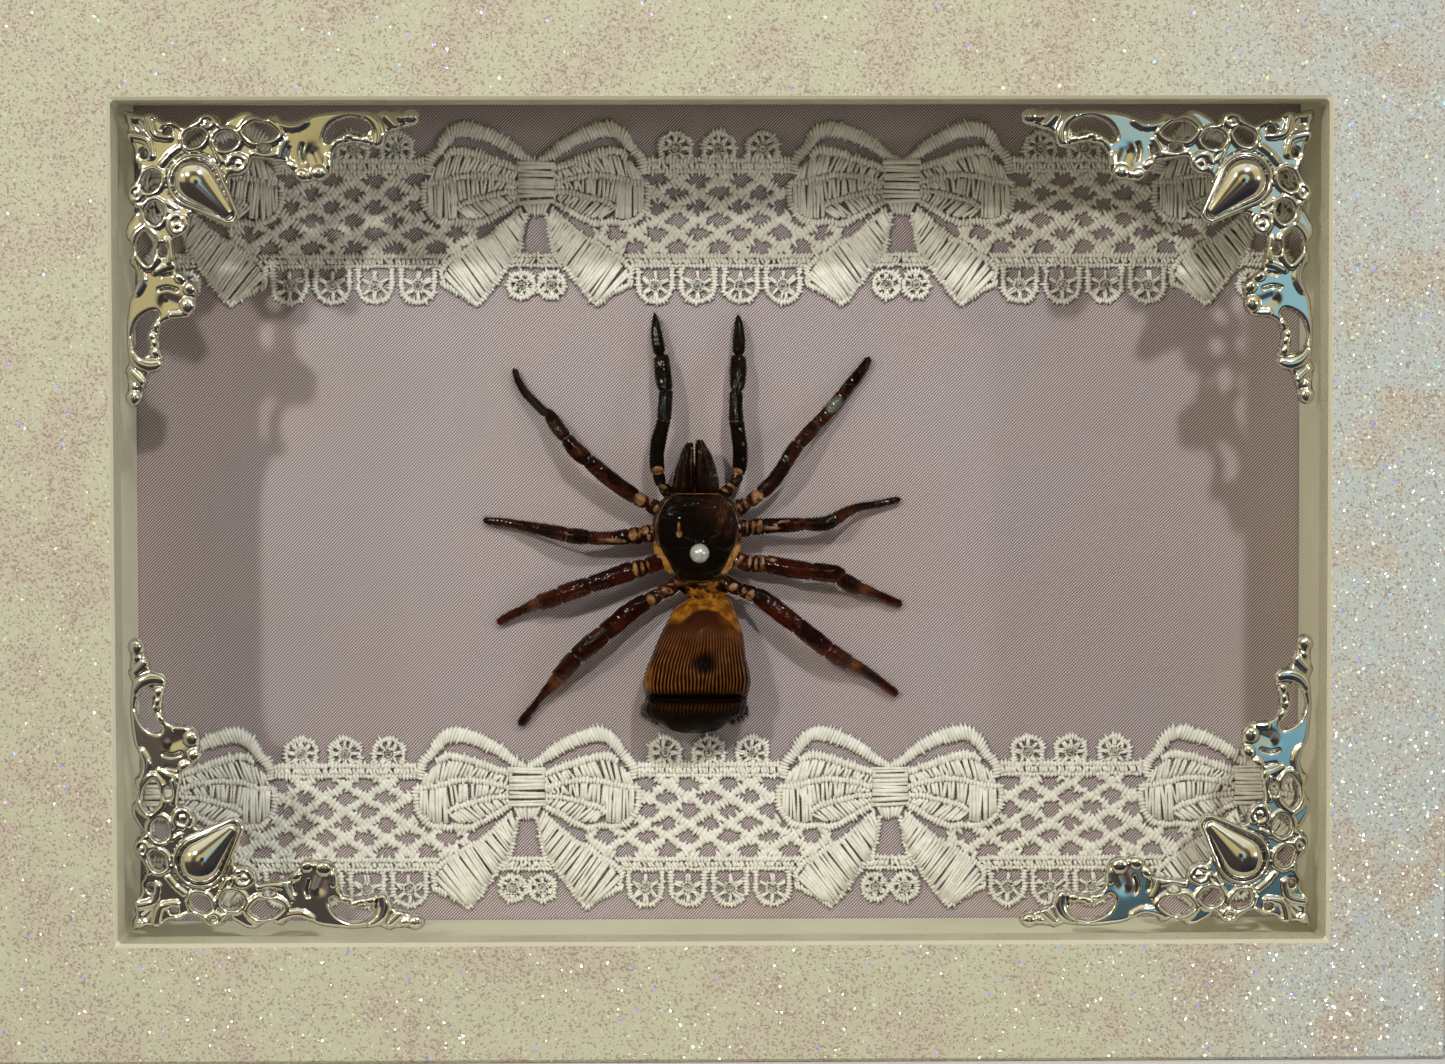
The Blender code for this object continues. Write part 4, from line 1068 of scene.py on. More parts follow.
def shell_finish(name, dark, warm):
    """Cuticle: its dark colour, a warmer one by the mark `warm`, tan skin by `tan`, bloom by `pale`."""
    material, place = finish(name, IOR=1.5, Specular_IOR_Level=0.3)
    warmth, tan, pale = (place.mark(name) for name in SHELL_MARKS)
    mottle, fine = place.noise(900.0, 3.0), place.noise(3200.0)
    colour = (warmth + (mottle - 0.5) * 1.1 * warmth).mixed(dark, warm)
    tan_colour = mottle.between(0.35, 0.65).mixed((0.09, 0.036, 0.010), (0.25, 0.118, 0.038))
    tan_colour = tan.between(1.0, 1.5).mixed(tan_colour, (0.42, 0.18, 0.035))
    colour = (tan * (0.75 + 0.5 * fine)).between(0.15, 0.9).mixed(colour, tan_colour)
    colour = (pale * (0.6 + 0.8 * fine)).between(0.2, 0.9).mixed(colour, (0.085, 0.08, 0.058))
    set_finish(material, Base_Color=colour, Roughness=0.06 + 0.05 * mottle + 0.3 * tan,
               Normal=(mottle + fine * 0.2).bump(0.25, 0.06 * MM))
    return material


black_shell = shell_finish("black_shell", (0.0022, 0.0014, 0.0007), (0.032, 0.010, 0.004))
brown_shell = shell_finish("brown_shell", (0.0045, 0.0011, 0.0006), (0.037, 0.0078, 0.0028))
red_shell = shell_finish("red_brown_shell", (0.0065, 0.0013, 0.0007), (0.054, 0.0075, 0.0023))


def trunk():
    """The skin below the shield, wrinkled on its upper side by three sets of ripples. Its tan and warm
    marks rise on the ripples' crests and fall in their valleys: painted light and shade over its own
    colours.
    """
    rows = stationed(TRUNK, 90)
    u, v, lift, turn = body(rows, 90, 20)
    upper = np.clip(np.sin(turn) * 3, 0, 1)
    across = np.abs(u - rows[:, 1:2]) / rows[:, 2:3]
    fold = ripples(5, 0.32, u, v) * 0.40 + ripples(6, 0.9, u, v) * 0.22 + ripples(7, 1.7, u, v) * 0.10
    lift = lift + fold * upper
    flap = ramp(v, 541, 7) * ramp(v, 576, -5)
    band = ramp(v, 500, 8) * ramp(across, 0.86, 0.05)
    back = ramp(v, 578, 4)
    # The flaps, the band and the rear are tan skin; the fold terms add painted light on the crests and
    # painted shade in the valleys.
    tan = flap * (1.5 + 0.8 * fold) + band * (0.38 + 0.4 * fold) + back * (0.25 + 0.9 * fold)
    warm = np.clip(0.75 + 0.6 * fold, 0, 1.3)
    return skin(u, v, lift, {"warm": warm, "tan": np.clip(tan, 0, 1.6), "pale": 0 * u})


# Shield: the black carapace, highest over the head, with a dimple at its middle where the pin goes in,
# faint furrows that run out from it, a low rise with the eyes in front, and a thin orange edge.
SHIELD = [(492.0, 697, 15, 6.5, 5.8), (493.2, 697, 21.0, 7.2, 5.4), (496, 696.4, 25.5, 7.8, 5.3),
          (500, 696.4, 30.0, 8.0, 5.2), (507, 697.4, 35.3, 8.3, 5.1), (517, 697.3, 39.8, 8.4, 5.1),
          (528, 697.0, 41.4, 8.3, 5.0), (541, 697.2, 39.2, 7.9, 5.0), (552, 697.2, 34.4, 7.5, 5.0),
          (563, 697.8, 28.6, 7.1, 4.9), (571, 697.4, 24.2, 6.7, 4.8), (577, 697.6, 19.6, 6.2, 4.8),
          (580, 697.6, 14.0, 5.8, 4.8), (581.6, 698, 7, 5.3, 4.8)]
DIMPLE = (699.5, 553.0)


def shield():
    """Lift = the body's arc + the head's ridge + the eye rise - the dimple - eight furrows, with lumps
    on its right side whose crests carry painted highlight streaks in tan, and fine ripples over it all."""
    rows = stationed(SHIELD, 130)
    u, v, lift, turn = body(rows, 110, 20, 0.62)
    upper = np.clip(np.sin(turn) * 3, 0, 1)
    across = (u - rows[:, 1:2]) / rows[:, 2:3]
    head = 0.75 * np.exp(-(across / 0.55) ** 2) * ramp(v, 540, -34) * ramp(v, 491, 6)
    eyes = 0.35 * blot(u, v, (694, 503.5), 14, 6, 0.6)
    dimple = 0.9 * np.exp(-((u - DIMPLE[0]) ** 2 + ((v - DIMPLE[1]) * 0.9) ** 2) / 60)
    angle = np.arctan2(v - DIMPLE[1] + 6, u - DIMPLE[0])
    gone = np.hypot(u - DIMPLE[0], v - DIMPLE[1])
    furrow = sum(np.exp(-(np.angle(np.exp(1j * (angle - way))) * gone / 3.0) ** 2)
                 for way in np.radians((-150, -115, -65, -30, 10, 170, 60, 120)))
    furrow = furrow * ramp(gone, 8, 8) * ramp(gone, 38, -12)
    streak_lumps = blot(u, v, (722.5, 514), 4.5, 17, 0.5, 14) + 0.8 * blot(u, v, (729, 529), 4, 8, 0.5, 14)
    lump = ripples(11, 0.75, u * 1.6, v * 0.6)
    lift = lift + upper * (head + eyes - dimple - 0.2 * furrow + 0.24 * streak_lumps * lump)
    lift = lift + upper * (0.05 * ripples(9, 0.8, u, v) + 0.03 * ripples(10, 2.0, u, v))
    edge = np.clip((np.abs(np.cos(turn)) - 0.965) / 0.025, 0, 1)
    ends = ramp(v, 494.6, -1.0) * ramp(v, 492.6, 0.8) + ramp(v, 579.4, 1.2)
    drop = blot(u, v, (679.2, 533.5), 2.9, 3.6, 0.2) + blot(u, v, (678.7, 527), 1.5, 5.5, 0.3)
    # The brown is the shell's own colour there; the tan on the lumps' crests is painted highlight.
    brown = streak_lumps * np.clip(0.6 + 0.6 * lump, 0, 1) + 0.35 * blot(u, v, (716, 508), 16, 12, 0.6)
    tan = np.clip(0.75 * edge + 0.8 * ends + drop + 0.42 * streak_lumps * np.clip(lump * 2 - 0.4, 0, 1), 0, 1)
    return skin(u, v, lift, {"warm": np.clip(0.05 + brown, 0, 1), "tan": tan, "pale": 0 * u})


def eye_beads():
    """Eight small beads on the rise: six in a bowed row and two behind it, as flattened spheres."""
    centres = np.array([(683, 502.2), (686.6, 503.6), (692.8, 503.4), (697.6, 503.4), (702.6, 503.6),
                        (705.8, 502.2), (688.5, 509.3), (701.5, 508.8)])
    size = np.array([1.7, 1.5, 1.6, 1.6, 1.5, 1.7, 1.2, 1.3])[:, None, None]
    high, turn = np.linspace(-1.2, 1.35, 7)[:, None], np.linspace(0, math.tau, 12, endpoint=False)[None]
    u = centres[:, 0, None, None] + size * np.cos(high) * np.cos(turn)
    v = centres[:, 1, None, None] + size * np.cos(high) * np.sin(turn)
    lift = 9.0 + size * PIXEL * np.sin(high) + 0 * turn
    points, quads, triangles = tubes(over_satin(u, v, lift * MM))
    nothing = np.zeros(len(points))
    return points, quads, triangles, {"warm": nothing + 0.2, "tan": nothing, "pale": nothing}


piece("carapace_shell", [shield(), eye_beads(), trunk()], black_shell, "black_shell", ["carapace"],
      marks=SHELL_MARKS)


# Jaws: two chelicerae in front of the shield, side by side with a narrow cleft, ribbed lengthways. Their
# fangs are folded under them and don't show.
JAWS = {"left": [(442.2, 689.4, 2.4, 6.4, 5.3), (443.4, 689.1, 4.3, 7.0, 4.6), (449, 687.4, 6.4, 7.6, 3.8),
                 (460.7, 685.3, 8.8, 8.0, 2.8), (472, 683.9, 10.5, 8.1, 2.1), (485, 683.0, 11.5, 7.8, 2.1),
                 (494, 683.0, 10.8, 6.8, 3.0)],
        "right": [(439.4, 699.4, 2.2, 6.4, 5.3), (440.6, 699.6, 4.0, 7.0, 4.6),
                  (445.4, 700.7, 5.7, 7.6, 3.8), (453, 703.1, 8.2, 8.0, 2.8),
                  (464.5, 705.1, 10.2, 8.1, 2.1), (476, 706.5, 11.6, 8.0, 2.0),
                  (485, 707.2, 12.2, 7.8, 2.1), (494, 707.4, 11.5, 6.8, 3.0)]}


def jaw(side):
    """Lift = the body's arc + a sine across for the ribs + fine ripples; brown streaks lie along it."""
    rows = stationed(JAWS[side], 80)
    u, v, lift, turn = body(rows, 50, 16, 0.7)
    across = (u - rows[:, 1:2]) / rows[:, 2:3]
    upper = np.clip(np.sin(turn) * 2, 0, 1)
    rib = np.sin(across * 8.5 + 1.2 * ripples(21, 0.07, v, across * 4)) * upper
    lift = lift + 0.20 * rib + 0.08 * ripples(22, 0.5, u * 2, v * 0.7) * upper
    streak = np.clip(ripples(23, 0.55, u * 1.8, v * 0.22), 0, 1)
    streak = streak * np.clip(1.3 - np.abs(v - 456) / 24, 0.1, 1)
    warm = np.clip(0.15 + 1.3 * streak, 0, 1.4)
    return skin(u, v, lift, {"warm": warm, "tan": 0.30 * streak * upper, "pale": 0 * u})


for side in ("left", "right"):
    piece("jaw_" + side, [jaw(side)], black_shell, "black_shell", ["chelicera_" + side], marks=SHELL_MARKS)


# Abdomen: a dried, collapsed sac, golden at its shoulders, with fine ridges along its back that part round
# a dark spot, a dark groove across, and a dark rear face with a fringe of hair. A wrinkled waist joins it.
ABDOMEN = [(591, 708.5, 8, 4.9, 2.6), (594, 709, 14, 6.2, 1.9), (599, 708.8, 21, 7.8, 1.4),
           (605, 705.2, 27.8, 9.0, 1.0), (611, 703.9, 31.6, 9.8, 0.8), (617, 703.4, 34.0, 10.3, 0.8),
           (629.7, 702.1, 39.6, 11.2, 0.7), (641, 700.7, 43.3, 11.9, 0.6), (655, 698.6, 46.9, 12.6, 0.5),
           (665, 697.6, 50.4, 13.0, 0.5), (679, 697.0, 53.5, 13.3, 0.5), (688, 696.5, 53.0, 13.1, 0.5),
           (696, 696.3, 50.7, 12.3, 0.5), (703, 695.1, 51.8, 12.3, 0.5), (709, 694.1, 52.2, 12.6, 0.6),
           (714, 694.0, 50.0, 12.3, 0.9), (718.5, 692.6, 41.5, 11.9, 1.8), (723, 693.4, 32.5, 11.2, 3.0),
           (727.5, 693.9, 27.0, 10.2, 4.0), (730.6, 693.8, 21.0, 9.2, 4.8), (732.4, 693, 9.0, 7.4, 5.4)]
ABDOMEN_SPOT = (704.4, 662.5)
ABDOMEN_MARKS = ("gold", "crest", "dark", "red")
# The edge between the golden shoulders and the brown back: pixel columns, and the edge's row at each.
SHOULDERS = ([640, 669.4, 682, 689, 698, 707, 718, 725.6, 734.8, 741.7, 760],
             [624, 624, 622.8, 616, 609.6, 608.5, 612, 619.3, 628.5, 634, 640])


def abdomen():
    """Lift = the sac's arc + ridges, a sine across whose phase bends round the spot, + a low dome in
    front, less the groove, two hollows and fine ripples. The crests of the ridges are golden."""
    rows = stationed(ABDOMEN, 240)
    u, v, lift, turn = body(rows, 330, 30, 0.72)
    across = (u - rows[:, 1:2]) / rows[:, 2:3]
    upper = np.clip(np.sin(turn) * 3, 0, 1)
    gap_u, gap_v = u - ABDOMEN_SPOT[0], v - ABDOMEN_SPOT[1]
    near = np.exp(-(gap_u / 17) ** 2 - (gap_v / 13) ** 2)
    phase = (across - 0.055 * near * np.tanh(gap_u / 5)) * 92
    phase = phase + 2.4 * ripples(31, 0.05, u, v) + 1.5 * ripples(32, 0.2, u, v)
    strength = ramp(v, 630, 18) * (1 - ramp(v, 690, 5))
    rear = ramp(v, 700, 4)
    ridge = np.sin(phase) * strength
    rear_phase = across * 88 + ripples(33, 0.15, u, v)
    groove = np.exp(-((v - 697.5 - 1.5 * (1 - across ** 2)) / 3.4) ** 2)
    swell = 0.7 * blot(u, v, (703, 627), 22, 18, 0.5)
    sunk = 0.6 * np.exp(-(gap_u / 9) ** 2 - (gap_v / 9) ** 2) + 0.8 * blot(u, v, (682, 615), 9, 6, 0.5)
    lift = lift + upper * (0.17 * ridge + 0.13 * np.sin(rear_phase) * rear - 1.3 * groove + swell - sunk
                           + 0.12 * ripples(34, 0.3, u, v) + 0.05 * ripples(35, 0.9, u, v))
    front = np.interp(u, *SHOULDERS)
    gold = np.clip((front - v) / 3.5 + 0.3 + 0.35 * ripples(36, 0.4, u, v), 0, 1)
    gold = np.maximum(gold, 0.62 * blot(u, v, (647.5, 677), 4.2, 15, 0.5))
    gold = np.maximum(gold, 0.3 * blot(u, v, (734, 626), 8, 16, 0.8, -25))
    gold = gold * (1 - 0.45 * blot(u, v, (676, 620), 7, 2.5, 0.5))
    crest = np.clip(-0.06 + 1.05 * np.sin(phase) + 0.3 * ripples(38, 0.35, u, v), 0, 1)
    crest = crest * ramp(v, 622, 26) * (1 - ramp(v, 689, 6))
    crest = crest * (1 - 0.97 * blot(u, v, ABDOMEN_SPOT, 12, 10, 0.4))
    crest = crest * np.clip(1.25 - (across * 0.85) ** 4, 0.15, 1)
    crest = crest * (0.75 + 0.35 * ripples(37, 0.09, u, v) + 0.25 * blot(u, v, (680, 672), 18, 26, 0.8))
    rear_crest = 0.8 * np.clip(np.sin(rear_phase), 0, 1) * rear * ramp(v, 716, -10)
    crest = crest + rear_crest * np.clip(1.2 - across ** 2 * 1.6, 0, 1)
    dark = np.clip(groove * 1.5 + 0.72 * rear + 0.9 * blot(u, v, ABDOMEN_SPOT, 10.5, 8.5, 0.4), 0, 1)
    red = np.clip(1.15 - np.abs(v - 630) / 40, 0.1, 1) * upper
    marks = {"gold": gold * (1 - rear), "crest": np.clip(crest, 0, 1), "dark": dark, "red": red}
    return skin(u, v, lift, marks)


WAIST = [(581, 701, 24, 5.0, 3.2), (585, 702, 26, 5.8, 2.4), (590, 704, 24, 6.6, 2.0),
         (596, 707, 20, 7.6, 1.8), (602, 708, 18, 8.3, 2.2), (606, 708, 11, 8.2, 3.0)]


def waist():
    """The skin between shield and abdomen: a short body with three sets of ripples and three hollows. Its
    golden skin is lighter on the ripples' crests as painted highlight, and dark in their valleys and in
    the hollows as painted shade.
    """
    rows = stationed(WAIST, 90)
    u, v, lift, turn = body(rows, 110, 16)
    upper = np.clip(np.sin(turn) * 2, 0, 1)
    fold = ripples(41, 0.55, u, v) * 0.5 + ripples(42, 1.2, u, v) * 0.42 + ripples(43, 2.2, u, v) * 0.2
    lift = lift + 0.75 * fold * upper
    shaded_hollow = np.maximum(blot(u, v, (681, 591), 7, 5, 0.4), blot(u, v, (723, 587), 6, 5, 0.4))
    shaded_hollow = np.maximum(shaded_hollow, 0.9 * blot(u, v, (698, 584.5), 12, 2.2, 0.4))
    lift = lift - 1.6 * shaded_hollow * upper
    # Painted light and shade: golden on the crests, dark in the valleys and the hollows.
    return skin(u, v, lift, {"gold": np.clip(0.8 + 0.8 * fold, 0, 1) * (1 - shaded_hollow), "crest": 0 * u,
                             "dark": np.clip(-fold * 0.9 + shaded_hollow, 0, 1), "red": 0.5 * upper})


def abdomen_finish():
    """Dark skin, browner by the mark `red`, golden by `crest` and `gold`, and near black by `dark`."""
    material, place = finish("abdomen_skin", IOR=1.45, Specular_IOR_Level=0.05)
    gold, crest, dark, red = (place.mark(name) for name in ABDOMEN_MARKS)
    mottle, fine = place.noise(750.0, 3.0), place.noise(3000.0)
    ground = (red * (0.6 + 0.8 * mottle)).mixed((0.008, 0.0025, 0.001), (0.034, 0.009, 0.003))
    colour = (crest * (0.5 + mottle)).mixed(ground, (0.19, 0.064, 0.010))
    amber = mottle.between(0.38, 0.66).mixed((0.12, 0.036, 0.005), (0.31, 0.118, 0.012))
    colour = dark.mixed(gold.mixed(colour, amber), (0.0045, 0.002, 0.001))
    set_finish(material, Base_Color=colour, Roughness=0.18 + 0.12 * mottle,
               Normal=(mottle + fine * 0.2).bump(0.35, 0.05 * MM))
    return material


piece("abdomen_sac", [abdomen(), waist()], abdomen_finish(), "abdomen_skin", ["abdomen"],
      marks=ABDOMEN_MARKS)


# Legs and palps: eight legs and two palps in hard shell, each a chain of segments from tip to hip with a
# crease at every joint and bare tan skin at the hips. Each has dried in its own shape.
LEG_LIFTS, PALP_LIFTS = (1.1, 1.6, 2.9, 4.5, 5.0, 3.9, 3.8, 3.8), (1.7, 2.6, 4.2, 5.0, 4.2, 4.2, 4.2)
# Each limb: its segments as stations (pixel column, pixel row, half width), the depth of the crease at
# each joint, and the discs of bare skin, each a middle, two half widths and a lean. The lifts above are
# those of its tip, joints and hip.
LIMBS = {
    "palp_left": (
        [[(654.5, 312.2, 0.5), (655.0, 316, 2.1), (655.6, 321, 3.7), (656.3, 332, 5.6),
          (658.2, 344.6, 6.5), (659.4, 351, 6.0), (659.6, 354, 5.2)],
         [(660.3, 355.5, 6.9), (661.2, 358, 7.7), (662.6, 370, 8.4), (664.2, 383, 8.0),
          (665.4, 389.5, 7.2)], [(666.0, 391.5, 7.2), (665.0, 404.6, 7.2), (664.2, 418.6, 7.3)],
         [(663.8, 420.5, 7.3), (661.9, 427.5, 7.1), (658.6, 440.3, 7.7), (656.8, 453, 7.5),
          (657.1, 465, 7.5), (657.6, 472, 6.8)],
         [(658.3, 473.5, 6.0), (659.5, 479, 6.2), (661.5, 484, 5.2)],
         [(662.2, 485.5, 5.2), (667, 491, 6.5), (672, 496, 6)]], (0.34, 0.20, 0.10, 0.22, 0.22),
        [((657.8, 470.3), 6.5, 4.2, 0), ((663.5, 486.5), 4.6, 2.3, 20)]),
    "palp_right": (
        [[(737.7, 314.4, 0.5), (737.9, 318, 2.5), (738.4, 323, 4.2), (739, 338.3, 6.4), (738.4, 351, 6.0),
          (738.8, 354, 5.0)],
         [(738, 355.5, 6.8), (738, 358, 7.5), (738.1, 370.1, 8.5), (737.5, 382.9, 8.0), (737, 390.5, 6.2)],
         [(736.2, 391.5, 6.7), (735.9, 405.8, 6.8), (736.0, 419.9, 7.5)],
         [(736.4, 421.5, 7.4), (738.0, 432.6, 7.4), (740.1, 446.6, 7.6), (740.3, 459.4, 7.7),
          (739.6, 468, 7.3), (738.5, 473, 6.2)],
         [(737.6, 474.5, 5.8), (736.3, 479.5, 6.0), (733.5, 484.5, 5.2)],
         [(732.5, 486, 5.2), (726, 491, 6.5), (721, 496, 6)]], (0.34, 0.22, 0.08, 0.22, 0.22),
        [((737, 471.4), 6.2, 3.3, 8), ((730, 484.8), 6.2, 1.9, 32), ((724, 490), 4, 2.0, 30)]),
    "leg_left_1": (
        [[(514.4, 368.4, 2.2), (515.2, 370.5, 3.1), (518.3, 380.6, 3.5), (524.6, 391.5, 4.0),
          (529, 396.5, 4.3)], [(529.8, 397.3, 4.3), (536, 403.5, 4.5), (541.5, 409, 4.5), (545, 413, 4.7)],
         [(547.5, 411.5, 4.6), (551, 417, 6.5), (556.5, 425.3, 7.1), (562.5, 433.5, 6.9),
          (565.5, 437, 6.4)],
         [(566.8, 438.5, 6.6), (569, 441.5, 7.4), (574.4, 448.2, 8.3), (581, 454.6, 8.3),
          (587, 459.5, 7.4)],
         [(589, 461, 7.4), (594, 465, 8.0), (602.4, 472.4, 8.3), (611, 479.5, 8.3), (620.3, 486.5, 8.2),
          (630, 493, 8.0), (635, 496.4, 7.4)], [(638, 498.4, 7.2), (643, 501, 6.9), (646.5, 502.5, 5.8)],
         [(648, 503.5, 6.5), (653, 506, 8), (662, 511, 8)]], (0.08, 0.12, 0.22, 0.14, 0.2, 0.25),
        [((640.2, 499.0), 6.0, 6.6, 15), ((651, 500), 1.6, 4.6, 20), ((656, 508), 2.2, 4.4, 30)]),
    "leg_right_1": (
        [[(868.8, 356.6, 1.6), (867.8, 359.5, 3.6), (864.5, 365.5, 4.8), (857.5, 375, 5.4),
          (849.5, 385, 5.9), (843.5, 392.5, 5.9)],
         [(841.5, 395, 6.0), (833.5, 405.8, 6.6), (822, 418.5, 6.7), (817, 423, 6.3)],
         [(815, 425, 6.6), (807, 434.4, 7.4), (799.5, 442.5, 7.0)],
         [(797.5, 445, 6.8), (792, 452, 7.3), (786.5, 461, 7.3)],
         [(785.5, 463, 7.2), (780, 471.5, 7.3), (773.6, 480.5, 7.5), (766, 488, 7.3), (761, 492.5, 6.8)],
         [(758.5, 495, 7.0), (752.5, 499.5, 7.0), (749, 502, 6.0)],
         [(747, 503, 6.5), (742, 506, 8), (732, 511, 8)]], (0.14, 0.12, 0.14, 0.06, 0.2, 0.25),
        [((757, 496.6), 6.3, 7.2, -20), ((745.5, 503.5), 1.7, 5.6, -20), ((739.5, 507), 1.4, 4.6, -30)]),
    "leg_left_2": (
        [[(483.2, 519.3, 1.4), (484.6, 519.8, 3.0), (490, 520.4, 3.6), (505.5, 522.2, 4.3),
          (514, 523.5, 4.6)],
         [(515.5, 523.8, 4.4), (523, 525.2, 5.0), (530, 526.7, 5.5), (538, 528.3, 6.2)],
         [(539.5, 528.8, 6.0), (551.4, 531.1, 7.0), (560, 533.2, 7.6), (566, 534.4, 7.7)],
         [(567.5, 534.8, 7.5), (575, 535.8, 8.1), (583, 536.3, 7.9), (588, 536.8, 7.0)],
         [(590, 537.1, 6.6), (601.2, 538.1, 6.5), (612, 537.9, 7.0), (620.3, 537.3, 7.7),
          (628, 536.2, 8.3)], [(630, 535.8, 8.2), (636.9, 535, 9.0), (641, 534.5, 8.2)],
         [(643, 534, 8.6), (650, 533, 8.8), (660, 532, 8)]], (0.06, 0.08, 0.12, 0.12, 0.16, 0.18),
        [((633, 534.2), 4.2, 6.2, 12), ((613, 540.3), 15, 2.0, 3), ((645, 530), 3.4, 4.6, 20),
         ((649, 537), 2.2, 3.4, 0)]),
    "leg_right_2": (
        [[(900.6, 498.4, 0.9), (897, 499.2, 2.9), (891, 500.6, 3.4), (880, 503.2, 3.6), (873, 504.5, 3.7)],
         [(871, 504.8, 3.7), (860.3, 506.4, 4.1), (852, 508.8, 4.8)],
         [(850.5, 509.6, 5.0), (842.4, 514.1, 5.9), (836, 518.2, 6.7)],
         [(834.5, 519.2, 6.8), (827.1, 523, 7.2), (815.6, 524.2, 7.0), (806, 523.8, 6.4)],
         [(804, 523.8, 6.4), (791.4, 524.8, 7.2), (781.2, 524.9, 7.4), (771, 525.2, 7.7),
          (765, 525.6, 8.0)], [(762.5, 525.9, 8.2), (756, 526.6, 8.6), (751.5, 527.2, 8.2)],
         [(749, 527.4, 8.8), (743, 528, 8.8), (733, 529, 8)]], (0.06, 0.06, 0.08, 0.10, 0.16, 0.2),
        [((759.6, 526.2), 3.0, 7.0, 5), ((752.8, 526.6), 1.8, 6.6, 5), ((771, 528), 9.5, 2.0, -2),
         ((783, 521.4), 6.5, 1.5, -10), ((747, 526), 1.4, 6, 0)]),
    "leg_left_3": (
        [[(497.4, 622.9, 2.6), (499.2, 621.8, 3.9), (505, 618, 4.3), (513.5, 613.7, 4.4),
          (520, 610.8, 4.4)],
         [(521.5, 610, 4.4), (526.9, 607.3, 4.9), (533.5, 604.3, 5.6), (537.5, 602.8, 5.8)],
         [(539.3, 602.2, 7.4), (541.5, 601.2, 8.2), (548, 599.6, 8.6), (554, 597.2, 8.7),
          (558.5, 595.4, 8.5)],
         [(560.3, 594.7, 8.8), (563, 593.5, 9.3), (573.7, 589.8, 9.4), (583, 586.5, 9.2),
          (588.5, 584.6, 8.4)],
         [(591, 583.8, 8.3), (600, 581, 8.8), (607.2, 578.9, 9.1), (618, 575, 9.5), (627.3, 571.6, 9.7),
          (632, 570.3, 9.3)], [(635, 569.3, 8.9), (641, 567.8, 9.0), (645, 566.5, 8.4)],
         [(647, 566, 8.5), (653, 564, 8.5), (662, 560, 8)]], (0.06, 0.10, 0.16, 0.14, 0.2, 0.2),
        [((635.5, 568.8), 2.5, 7.3, -8), ((642.5, 567), 1.9, 5.6, -10), ((648, 564.5), 1.6, 5, -15)]),
    "leg_right_3": (
        [[(901.8, 604.2, 2.4), (899.6, 603.4, 3.9), (893, 601, 4.2), (885.8, 598.2, 4.3),
          (878.5, 594.8, 4.4)], [(877, 594, 4.4), (868, 590.2, 5.2), (861.5, 588.2, 5.8)],
         [(859.6, 588, 6.6), (855.2, 586.6, 7.7), (847.6, 582.5, 8.3), (842.5, 579.5, 7.8)],
         [(839.5, 575.5, 8.6), (835, 573.6, 9.4), (822, 572.2, 9.3), (813.1, 571, 8.9)],
         [(810, 570.8, 8.8), (796.5, 569.1, 9.6), (781.2, 566.5, 9.5), (768.5, 563.6, 9.2)],
         [(765, 563.4, 8.8), (758, 563.6, 8.8), (753, 563.5, 8.6)],
         [(751, 563.3, 8.8), (745, 562, 8.6), (735, 558, 8)]], (0.06, 0.10, 0.16, 0.14, 0.16, 0.2),
        [((762.2, 563.6), 2.2, 7.2, 5), ((755.8, 563.4), 1.9, 6.6, 5), ((749.6, 562), 1.8, 6.4, 5),
         ((772, 559.5), 5, 1.4, 12)]),
    "leg_left_4": (
        [[(519.4, 725, 2.3), (521.3, 722, 4.0), (526.9, 714.6, 4.4), (532, 708.5, 3.9), (537, 702.2, 3.4)],
         [(538.4, 700.2, 3.5), (542, 695.5, 4.1), (547, 690, 5.0), (553.7, 682, 6.2), (556.5, 679, 6.6)],
         [(558, 677.5, 7.9), (560, 675, 8.8), (565.7, 668.6, 8.9), (571, 662, 9.1), (575.5, 657.5, 8.4)],
         [(577.5, 655.5, 8.7), (580, 652.8, 9.6), (591.2, 643.8, 10.0), (599, 637.3, 9.6),
          (603, 633.8, 9.0)],
         [(605, 632, 9.2), (613.9, 625.2, 9.9), (624, 616.2, 9.8), (631.3, 610, 9.5), (641, 603.8, 9.0),
          (646, 601, 8.3)], [(649, 599.8, 7.6), (655, 596.5, 7.6), (659, 594, 6.8)],
         [(661, 593, 6.8), (667.5, 589.6, 7.2), (676, 584, 7)]], (0.06, 0.12, 0.18, 0.14, 0.18, 0.2),
        [((651.2, 599.8), 3.9, 6.6, -28), ((667, 590), 6.6, 3.2, 25)]),
    "leg_right_4": (
        [[(897.4, 694.6, 2.4), (895.4, 692.8, 4.0), (885.8, 685.8, 4.4), (878.5, 679.8, 4.4)],
         [(877, 678.6, 4.5), (866.7, 671.6, 5.3), (857.8, 666.5, 6.0), (851.5, 663.2, 6.2)],
         [(848.8, 662, 7.4), (842.4, 658.6, 8.4), (834.8, 653.9, 8.8), (829.5, 650.6, 8.4)],
         [(827, 648.8, 8.6), (822, 645, 9.1), (814.4, 638.6, 9.3), (804.2, 630.4, 9.0), (799, 626, 8.5)],
         [(796.5, 624.4, 8.7), (791.4, 621.2, 8.9), (781.2, 612.8, 9.5), (771, 604.6, 9.6),
          (760.8, 597.2, 9.0), (756.5, 594.8, 8.2)],
         [(752.5, 593.6, 7.6), (746, 590.8, 7.4), (741.5, 589.5, 6.8)],
         [(739.5, 588.6, 6.8), (733.4, 586.4, 7.4), (722, 580, 7)]], (0.06, 0.10, 0.16, 0.12, 0.18, 0.2),
        [((750, 595.0), 3.8, 6.6, 28), ((743.5, 590), 2.2, 3.4, 0), ((733.2, 586.6), 5.6, 3.6, -35)])}


